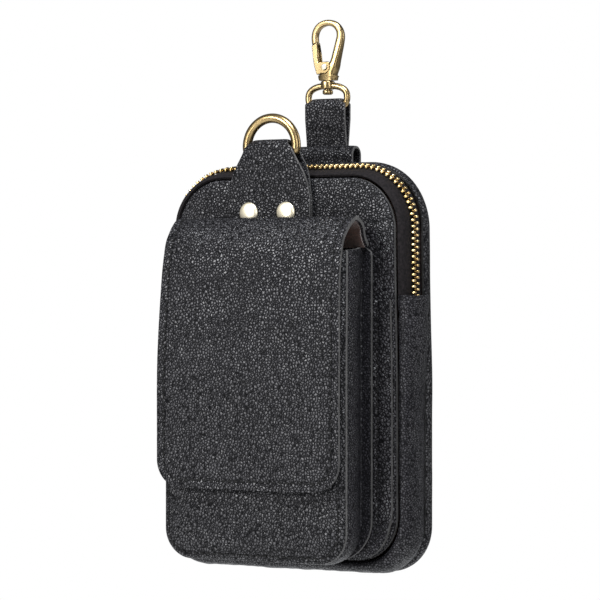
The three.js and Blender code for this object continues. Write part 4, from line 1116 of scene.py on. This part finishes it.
def flap():
    grid, inset, along, length = flap_sheet(0)
    body = smoothstep((inset - 4) / 12)
    lower = smoothstep((along - 30) / 12)[:, None]
    relief = 0.25 * body * lower + 0.35 * waves(grid, 30, 2.6) * body + seam(inset, FLAP_STITCH) * lower
    piece = wall("flap_leather", grid, -FLAP_LEATHER, (grain, raw, grain), relief=relief)
    finish_piece(piece, "bag", "grain_leather", "flap", bevel=0.3)
    line = flap_line(400)
    start = np.argmax(line[:, 1])
    side = line[start:]
    side = side[side[:, 1] > side[-1, 1] + FLAP_RADIUS]
    x = FLAP_WIDTH / 2 - FLAP_STITCH
    right = np.column_stack([np.full(len(side), x), side[:, 0], side[:, 1]])
    bottom = line[-1, 1]
    radius = FLAP_RADIUS - FLAP_STITCH
    turn = u_path(x, bottom + FLAP_RADIUS, bottom + FLAP_STITCH, radius, 2, 16, 20)
    across = at_depth(turn, FLAP_FACE)
    path = np.vstack([right, across, right[::-1] * np.array([-1, 1, 1])])
    path[:, 0] = squeezed(*path.T)
    path = even(path, 700)
    front = smoothstep((path[:, 1] / FLAP_FACE - 0.6) / 0.4)
    near_side = (np.abs(path[:, 0]) / (FLAP_WIDTH / 2)) ** 6
    path[:, 1] += FLAP_CROWN * front * near_side
    tangent = np.gradient(path, axis=0)
    normals = np.tile([0.0, -1.0, 0.0], (len(path), 1))
    on_side = np.abs(tangent[:, 2]) > np.abs(tangent[:, 0])
    turned = np.column_stack([0 * path[:, 0], -np.abs(tangent[:, 2]), np.abs(tangent[:, 1])])
    turned /= np.maximum(np.linalg.norm(turned, axis=1, keepdims=True), 1e-9)
    normals[on_side] = turned[on_side]
    path -= normals * 0.18
    stitches("flap_stitches", path, normals, "grain_leather")


def flap_lining():
    grid, _, along, _ = flap_sheet(1.2)
    keep = along > FLAP_ROOT_LENGTH
    grid = grid[keep] - grid_normals(grid, False)[keep] * (FLAP_LEATHER + 0.05)
    piece = wall("flap_suede", grid, -LINING, (suede, suede, suede))
    finish_piece(piece, "bag", "suede_lining", "flap_lining")


# Straps


def fold_rows(front, back, top, steps=28):
    radius = (back - front) / 2
    angles = np.linspace(math.pi, 0, steps)
    return [
        ((front + back) / 2 + radius * math.cos(a), top - radius + radius * math.sin(a))
        for a in angles
    ]


def strap(name, rows, half_at, centre, thickness, columns=15, wave=0.12, seed=1.0):
    """A folded strap from a profile in Y-Z, with a half width for each height."""
    line = even(rows, 240)
    shares = np.linspace(-1, 1, columns)
    half = np.array([half_at(z) for z in line[:, 1]])
    x = centre + shares[None, :] * half[:, None]
    grid = np.stack([x, line[:, :1] + 0 * x, line[:, 1:] + 0 * x], axis=2)
    relief = wave * waves(grid, 10, seed) - 0.25 * np.abs(shares[None, :]) ** 10 + 0 * x
    return wall(name, grid, thickness, (grain, raw, grain), relief=relief)


RING_PLANE = (PANEL_FACE - TAB_STACK) / 2 + RING_FORWARD
BAR_HEIGHT = TAB_TOP - STRAP_LEATHER - D_SLACK - D_WIRE / 2
TAB_SHAPE = [
    (0, 0.42),
    (0.05, 0.49),
    (0.087, 0.566),
    (0.145, 0.62),
    (0.335, 0.846),
    (0.455, 0.94),
    (0.6, 1),
    (1, 1),
]


def ring_tab():
    spread = D_WIRE / 2 + GAP + STRAP_LEATHER
    low_front = PANEL_FACE - TAB_STACK
    low_back = PANEL_FACE - GAP
    bottom = TAB_TOP - TAB_LENGTH
    ease = PANEL_TOP - D_WIRE
    clear = BAR_HEIGHT - D_WIRE
    rows = [(low_front, bottom), (low_front, ease), (RING_PLANE - spread, clear)]
    rows += fold_rows(RING_PLANE - spread, RING_PLANE + spread, TAB_TOP)
    rows += [(RING_PLANE + spread, clear), (low_back, ease), (low_back, bottom)]
    depths, widths = zip(*TAB_SHAPE)

    def half_at(z):
        return np.interp((TAB_TOP - z) / TAB_LENGTH, depths, widths) * TAB_WIDTH / 2

    piece = strap("ring_tab_leather", rows, half_at, TAB_OFFSET, STRAP_LEATHER, seed=4.4)
    finish_piece(piece, "bag", "grain_leather", "ring_tab", bevel=0.25)


def d_ring():
    radius = D_WIDTH / 2
    centre = BAR_HEIGHT + D_LEG
    path = [
        (TAB_OFFSET + radius * math.cos(a), RING_PLANE, centre + radius * math.sin(a))
        for a in np.linspace(0, math.pi, 60)
    ]
    for side in (-1, 1):
        turns = [
            (
                TAB_OFFSET + side * (radius - D_CORNER * (1 - math.cos(a))),
                RING_PLANE,
                BAR_HEIGHT + D_CORNER * (1 - math.sin(a)),
            )
            for a in np.linspace(0, math.pi / 2, 12)
        ]
        path += turns if side < 0 else turns[::-1]
    rings = wire_rings(path, D_WIRE / 2, D_WIRE / 2, 24, closed=True)
    piece = swept("d_ring_wire", rings, True, (antique,))
    finish_piece(piece, "bag", "antique_brass", "d_ring")


def rivet(label, side):
    """A domed cap with a small flat rim."""
    radius = RIVET_DIAMETER / 2
    face = PANEL_FACE - TAB_STACK - GAP
    centre = (TAB_OFFSET + side * RIVET_SPACING / 2, TAB_TOP - TAB_LENGTH + RIVET_RISE)
    profile = [(0.9 * radius, 0.0), (0.985 * radius, 0.12), (radius, 0.3), (0.985 * radius, 0.5)]
    profile += [
        (0.96 * radius * math.cos(a), 0.5 + (RIVET_HEIGHT - 0.5) * math.sin(a))
        for a in np.linspace(0.15, math.pi / 2 - 0.02, 14)
    ]
    rows = [(r, face - lift) for r, lift in profile]
    piece = turned_across(f"rivet_cap_{label}", rows, centre, pale)
    finish_piece(piece, "bag", "pale_brass", f"rivet_{label}")


def belt_loop():
    front, back = LOOP_LOW.y, LOOP_HIGH.y
    hem = front + STRAP_LEATHER
    bottom = LOOP_LOW.z
    rows = [(front, LOOP_HIGH.z - LOOP_FRONT_LENGTH)]
    rows += fold_rows(front, back, LOOP_HIGH.z)
    rows += [(back, bottom + LOOP_HEM + LOOP_RAMP), (hem, bottom + LOOP_HEM), (hem, bottom)]
    piece = strap("belt_loop_leather", rows, lambda z: LOOP_WIDTH / 2, 0, STRAP_LEATHER, 21, seed=7.0)
    finish_piece(piece, "bag", "grain_leather", "belt_loop", bevel=0.25)
    stitched_box("belt_loop_stitches", hem + STITCH_LIFT, 14, bottom + 3, bottom + 11)


def hook_strap():
    spread = EYE_WIRE / 2 + GAP + STRAP_LEATHER
    bottom = STRAP_LOW.z
    top = STRAP_HIGH.z
    ease = LOOP_HIGH.z + GAP
    clear = EYE_LOW.z - EYE_WIRE
    low_front = LOOP_HIGH.y + GAP
    low_back = low_front + 2 * STRAP_LEATHER + GAP
    front, back = HOOK_PLANE - spread, HOOK_PLANE + spread
    rows = [(low_front, bottom), (low_front, ease), (front, clear)]
    rows += fold_rows(front, back, top)
    rows += [(back, clear), (low_back, ease), (low_back, bottom)]
    shoulder = top - STRAP_SHOULDER

    def half_at(z):
        share = float(smoothstep((z - shoulder) / 1.6))
        return mix(STRAP_WIDTH, STRAP_FOLD_WIDTH, share) / 2

    piece = strap("hook_strap_leather", rows, half_at, 0, STRAP_LEATHER, seed=9.0)
    finish_piece(piece, "bag", "grain_leather", "hook_strap", bevel=0.25)
    stitched_box("hook_strap_stitches", low_back + STITCH_LIFT, 7.5, bottom + 3, bottom + 20)


# Swivel and hook


def joined(first, *others):
    """Several overlapping closed meshes as one object."""
    build = bmesh.new()
    build.from_mesh(first.data)
    for other in others:
        build.from_mesh(other.data)
        bpy.data.objects.remove(other)
    build.to_mesh(first.data)
    build.free()
    return first


def swivel_eye():
    middle = EYE_LOW.z + EYE_HEIGHT / 2
    angles = circle(72)
    c, s = np.cos(angles), np.sin(angles)
    x = (EYE_WIDTH - EYE_WIRE) / 2 * np.sign(c) * np.abs(c) ** (2 / EYE_POWER)
    z = middle + (EYE_HEIGHT - EYE_WIRE) / 2 * np.sign(s) * np.abs(s) ** (2 / EYE_POWER)
    path = np.column_stack([x, 0 * x + HOOK_PLANE, z])
    path = even(np.vstack([path, path[:1]]), 97)
    rings = wire_rings(path[:-1], EYE_WIRE / 2, EYE_WIRE / 2, 24, closed=True)
    ring = swept("swivel_eye_metal", rings, True, (antique,))
    top = EYE_HIGH.z
    low = top - BARREL_HEIGHT
    r = BARREL_DIAMETER / 2
    bore = STUD_DIAMETER / 2 + GAP
    profile = [
        (bore, low),
        (r - 0.5, low),
        (r - 0.12, low + 0.15),
        (r, low + 0.5),
        (r, top - 0.5),
        (r - 0.12, top - 0.15),
        (r - 0.5, top),
        (bore, top),
    ]
    barrel = turned("barrel", profile, antique, closed=True)
    finish_piece(joined(ring, barrel), "bag", "antique_brass", "swivel_eye")


# Across, rise, bar and thickness of the hook's bar from its foot to its nose
HOOK_ROWS = [
    (0.05, 0, 2.9, 1.5),
    (0.045, 0.075, 3.25, 1.65),
    (0.12, 0.15, 3.1, 1.7),
    (0.38, 0.23, 1.72, 1.65),
    (0.49, 0.315, 1.34, 1.47),
    (0.6, 0.444, 1.31, 1.29),
    (0.735, 0.61, 1.28, 1.09),
    (0.795, 0.726, 1.17, 1),
    (0.71, 0.826, 1.03, 0.97),
    (0.445, 0.911, 0.97, 0.94),
    (0.02, 0.943, 0.93, 0.94),
    (-0.41, 0.908, 0.97, 0.94),
    (-0.665, 0.826, 1, 0.94),
    (-0.76, 0.722, 1, 0.94),
]
# Along and across the gate, as shares of its length and its bar
GATE_OUTER = [(1, -0.55), (0.33, -1.5), (-0.09, -1.8)]
GATE_INNER = [(0.3, -0.68), (0.6, -0.12), (1, 0.5)]
CHANNEL_INNER = [(-0.5, -0.5), (0, 2), (GATE_SEAT, 1)]
# Room in the hook's foot under the gate's tail, as shares of the knuckle's radius
SEAT = [(-2.4, -1.5), (-0.3, -1.12), (0, 0), (-2.4, 1.5)]
NOSE_ACROSS = -0.76
NOSE_RISE = 0.626
PIVOT = (PIVOT_OFFSET, HOOK_BASE + PIVOT_RISE)
NOSE_ANGLE = math.atan2(
    HOOK_BASE + NOSE_RISE * HOOK_HEIGHT - PIVOT[1], NOSE_ACROSS * HOOK_WIDTH / 2 - PIVOT[0]
)
TO_NOSE = (math.cos(NOSE_ANGLE), math.sin(NOSE_ANGLE))


def cutter(name, low, high):
    """A box in bag coordinates, for cutting."""
    x_pair, y_pair, z_pair = zip(low, high)
    corners = [(x, y, z) for x in x_pair for y in y_pair for z in z_pair]
    faces = [(0, 1, 3, 2), (4, 6, 7, 5), (0, 4, 5, 1), (2, 3, 7, 6), (0, 2, 6, 4), (1, 5, 7, 3)]
    return bag_mesh(name, corners, faces, [0] * 6, (antique,))


def cut(piece, tool):
    """Takes the tool's shape out of a piece."""
    change = piece.modifiers.new("cut", "BOOLEAN")
    change.operation = "DIFFERENCE"
    change.solver = "EXACT"
    change.object = tool
    evaluated = piece.evaluated_get(bpy.context.evaluated_depsgraph_get())
    mesh = bpy.data.meshes.new_from_object(evaluated)
    piece.modifiers.clear()
    piece.data = mesh
    bpy.data.objects.remove(tool)
    mesh.set_sharp_from_angle(angle=math.radians(40))


def drum(name, radius, half, edge=0.0):
    """A disc across Y about the gate's pin, its rims cut back by edge."""
    rows = [(radius, -half), (radius, half)]
    if edge:
        rows = [(radius - edge, -half), (radius, edge - half)]
        rows += [(radius, half - edge), (radius - edge, half)]
    return turned_across(name, [(r, HOOK_PLANE + y) for r, y in rows], PIVOT, antique)


def snap_hook():
    half, half_bar, half_thick = HOOK_WIDTH / 2, HOOK_BAR / 2, HOOK_THICKNESS / 2
    rows = [
        (across * half, HOOK_PLANE, HOOK_BASE + rise * HOOK_HEIGHT, bar * half_bar, thick * half_thick)
        for across, rise, bar, thick in HOOK_ROWS
    ]
    nose = (PIVOT[0] + TO_NOSE[0] * NOSE_REACH, HOOK_PLANE, PIVOT[1] + TO_NOSE[1] * NOSE_REACH)
    rows.append((*nose, half_bar, HOOK_ROWS[-1][3] * half_thick))
    line = smooth_curve(rows, 140)
    ends = (np.array([1.0, 0, 0]), np.array([-TO_NOSE[1], 0, TO_NOSE[0]]))
    rings = wire_rings(line[:, :3], line[:, 3], line[:, 4], 44, power=3.0, ends=ends)
    hook = swept("snap_hook_metal", rings, False, (antique,))
    seat = [(PIVOT[0] + x * KNUCKLE_RADIUS, PIVOT[1] + z * KNUCKLE_RADIUS, 0) for x, z in SEAT]
    cut(hook, gate_plate("seat", seat, 2 * HOOK_THICKNESS, 2 * HOOK_THICKNESS))
    cut(hook, drum("pocket", KNUCKLE_RADIUS + GAP, 2 * HOOK_THICKNESS))
    tongue = drum("tongue", TONGUE_RADIUS, TONGUE_THICKNESS / 2, edge=0.2)
    low = (PIVOT[0] - TONGUE_RADIUS / 2, HOOK_PLANE - TONGUE_THICKNESS / 2, HOOK_BASE + 1)
    high = (PIVOT[0] + 1.5 * TONGUE_RADIUS, HOOK_PLANE + TONGUE_THICKNESS / 2, PIVOT[1])
    neck = cutter("tongue_neck", low, high)
    barrel_low = EYE_HIGH.z - BARREL_HEIGHT - GAP
    button = BUTTON_DIAMETER / 2
    profile = [
        (button - 0.5, barrel_low - BUTTON_HEIGHT),
        (button, barrel_low - BUTTON_HEIGHT + 0.5),
        (button, barrel_low - 0.3),
        (button - 0.3, barrel_low),
        (STUD_DIAMETER / 2, barrel_low),
        (STUD_DIAMETER / 2, HOOK_BASE + 1),
    ]
    stud = turned("stud", profile, antique)
    finish_piece(joined(hook, tongue, neck, stud), "hook", "antique_brass", "snap_hook", bevel=0.12)


def gate_places(rows):
    """Rows of along and across as points (x, z, share) on the gate's face."""
    reach = NOSE_REACH - GAP
    return [
        (
            PIVOT[0] + TO_NOSE[0] * a * reach + TO_NOSE[1] * b * GATE_BAR,
            PIVOT[1] + TO_NOSE[1] * a * reach - TO_NOSE[0] * b * GATE_BAR,
            min(max(a, 0), 1),
        )
        for a, b in rows
    ]


def gate_plate(name, places, at_pin, at_nose):
    """A plate across Y from a run of places, thinner towards the nose."""
    rings = [
        [(x, HOOK_PLANE + side * mix(at_pin, at_nose, share), z) for x, z, share in places]
        for side in (-1, 1)
    ]
    return swept(name, rings, False, (antique,))


def hook_gate():
    """A folded gate with a cheek on each side of the hook's tongue."""
    knuckle = [
        (PIVOT[0] + KNUCKLE_RADIUS * math.cos(a), PIVOT[1] + KNUCKLE_RADIUS * math.sin(a), 0)
        for a in np.radians(np.linspace(KNUCKLE_START, KNUCKLE_END, 22))
    ]
    face = gate_places(GATE_OUTER) + knuckle + gate_places(GATE_INNER)
    gate = gate_plate("hook_gate_metal", face, KNUCKLE_THICKNESS / 2, HOOK_THICKNESS / 2)
    web = GATE_WEB / GATE_BAR
    room = [(min(a, GATE_SEAT), b + web) for a, b in GATE_OUTER]
    room += CHANNEL_INNER
    half = TONGUE_THICKNESS / 2 + GAP
    cut(gate, gate_plate("channel", gate_places(room), half, half - GAP))
    finish_piece(gate, "gate", "antique_brass", "hook_gate", bevel=0.35)


def gate_pin():
    """The pin's two rounded heads and the shaft between them."""
    low, high = in_bag("gate_pin")
    reach = (high.y - low.y) / 2
    r = PIN_HEAD_DIAMETER / 2
    profile = [
        (0.3 * r, -reach),
        (0.75 * r, -reach + 0.1),
        (r, -reach + 0.35),
        (r, -reach + 0.5),
        (0.57 * r, -reach + 0.5),
        (0.57 * r, reach - 0.5),
        (r, reach - 0.5),
        (r, reach - 0.35),
        (0.75 * r, reach - 0.1),
        (0.3 * r, reach),
    ]
    rows = [(q, HOOK_PLANE + y) for q, y in profile]
    piece = turned_across("gate_pin_metal", rows, PIVOT, pale, sides=32)
    finish_piece(piece, "hook", "pale_brass", "gate_pin")


# Stage, light and camera

VIEW_SIDE = math.radians(30)
CAMERA_DISTANCE = 1.25
CAMERA_TARGET = Vector((6.3, 3.6, 116.0)) * MM + ZERO
FOCAL_LENGTH = 174.6
FLOOR_DROP = 0.25
# Name, place from the bag's middle in metres, size, power and colour of each light
LIGHTS = [
    ("key", (-0.42, -1.05, 0.55), (0.3, 0.3), 20, (1, 1, 1)),
    ("low", (-0.3, -1.15, 0.1), (0.25, 0.5), 6, (1, 1, 1)),
    ("right", (1.1, -0.75, 0.3), (0.2, 0.8), 7, (1, 1, 1)),
    ("top", (0.3, -0.35, 1.0), (0.4, 0.4), 26, (0.93, 0.96, 1)),
    ("back_right", (0.9, 0.8, 0.4), (0.3, 0.7), 4, (1, 1, 1)),
]


def lights():
    middle = Vector((0, 0, 90)) * MM + ZERO
    for name, offset, size, power, colour in LIGHTS:
        data = bpy.data.lights.new(name, "AREA")
        data.shape = "RECTANGLE"
        data.size, data.size_y = size
        data.energy = power
        data.color = colour
        light = bpy.data.objects.new(name, data)
        light.location = middle + Vector(offset)
        light.rotation_euler = (-Vector(offset)).to_track_quat("-Z", "Y").to_euler()
        bpy.context.scene.collection.objects.link(light)


def stage():
    mesh = bpy.data.meshes.new("floor")
    r = 1.6
    z = ZERO.z - FLOOR_DROP
    rim = [(r * math.cos(a), r * math.sin(a), z) for a in circle(64)]
    mesh.from_pydata(rim, [], [tuple(range(len(rim)))])
    floor = bpy.data.objects.new("floor", mesh)
    bpy.context.scene.collection.objects.link(floor)
    look = Look("floor_white", (0.86, 0.86, 0.86), 0.9)
    mottle = look.noise(6, 2).outputs[0]
    look.colour(look.ramp(mottle, [(0.0, 0.84), (1.0, 0.88)]))
    mesh.materials.append(look.material)


def sky():
    """White where it is seen, and dimmer as a light."""
    world = bpy.data.worlds.new("studio")
    world.use_nodes = True
    tree = world.node_tree
    seen = tree.nodes.new("ShaderNodeBackground")
    seen.inputs["Color"].default_value = (1, 1, 1, 1)
    seen.inputs["Strength"].default_value = 1.0
    lit = tree.nodes["Background"]
    lit.inputs["Color"].default_value = (0.95, 0.97, 1, 1)
    lit.inputs["Strength"].default_value = 0.2
    path = tree.nodes.new("ShaderNodeLightPath")
    blend = tree.nodes.new("ShaderNodeMixShader")
    tree.links.new(path.outputs["Is Camera Ray"], blend.inputs["Fac"])
    tree.links.new(lit.outputs[0], blend.inputs[1])
    tree.links.new(seen.outputs[0], blend.inputs[2])
    tree.links.new(blend.outputs[0], tree.nodes["World Output"].inputs["Surface"])
    bpy.context.scene.world = world


def camera():
    data = bpy.data.cameras.new("camera")
    data.lens = FOCAL_LENGTH
    data.sensor_width = 36
    data.clip_start = 0.05
    view = bpy.data.objects.new("camera", data)
    way = Vector((math.sin(VIEW_SIDE), -math.cos(VIEW_SIDE), 0))
    view.location = CAMERA_TARGET + way * CAMERA_DISTANCE
    view.rotation_euler = (math.pi / 2, 0, VIEW_SIDE)
    bpy.context.scene.collection.objects.link(view)
    bpy.context.scene.camera = view


front_panel()
front_layers()
front_gusset()
back_gusset()
back_panel()
zip_tape("zip_tape_front_cloth", "zip_tape_front", 0, CHAIN_PLACE - GAP / ZIP_WIDTH)
zip_tape("zip_tape_back_cloth", "zip_tape_back", CHAIN_PLACE + GAP / ZIP_WIDTH, 1)
zip_teeth()
zip_slider()
pouch_front()
pouch_gusset()
flap()
flap_lining()
ring_tab()
d_ring()
rivet("left", -1)
rivet("right", 1)
belt_loop()
hook_strap()
swivel_eye()
snap_hook()
hook_gate()
gate_pin()
stage()
sky()
lights()
camera()
bpy.context.scene.view_settings.view_transform = "Standard"
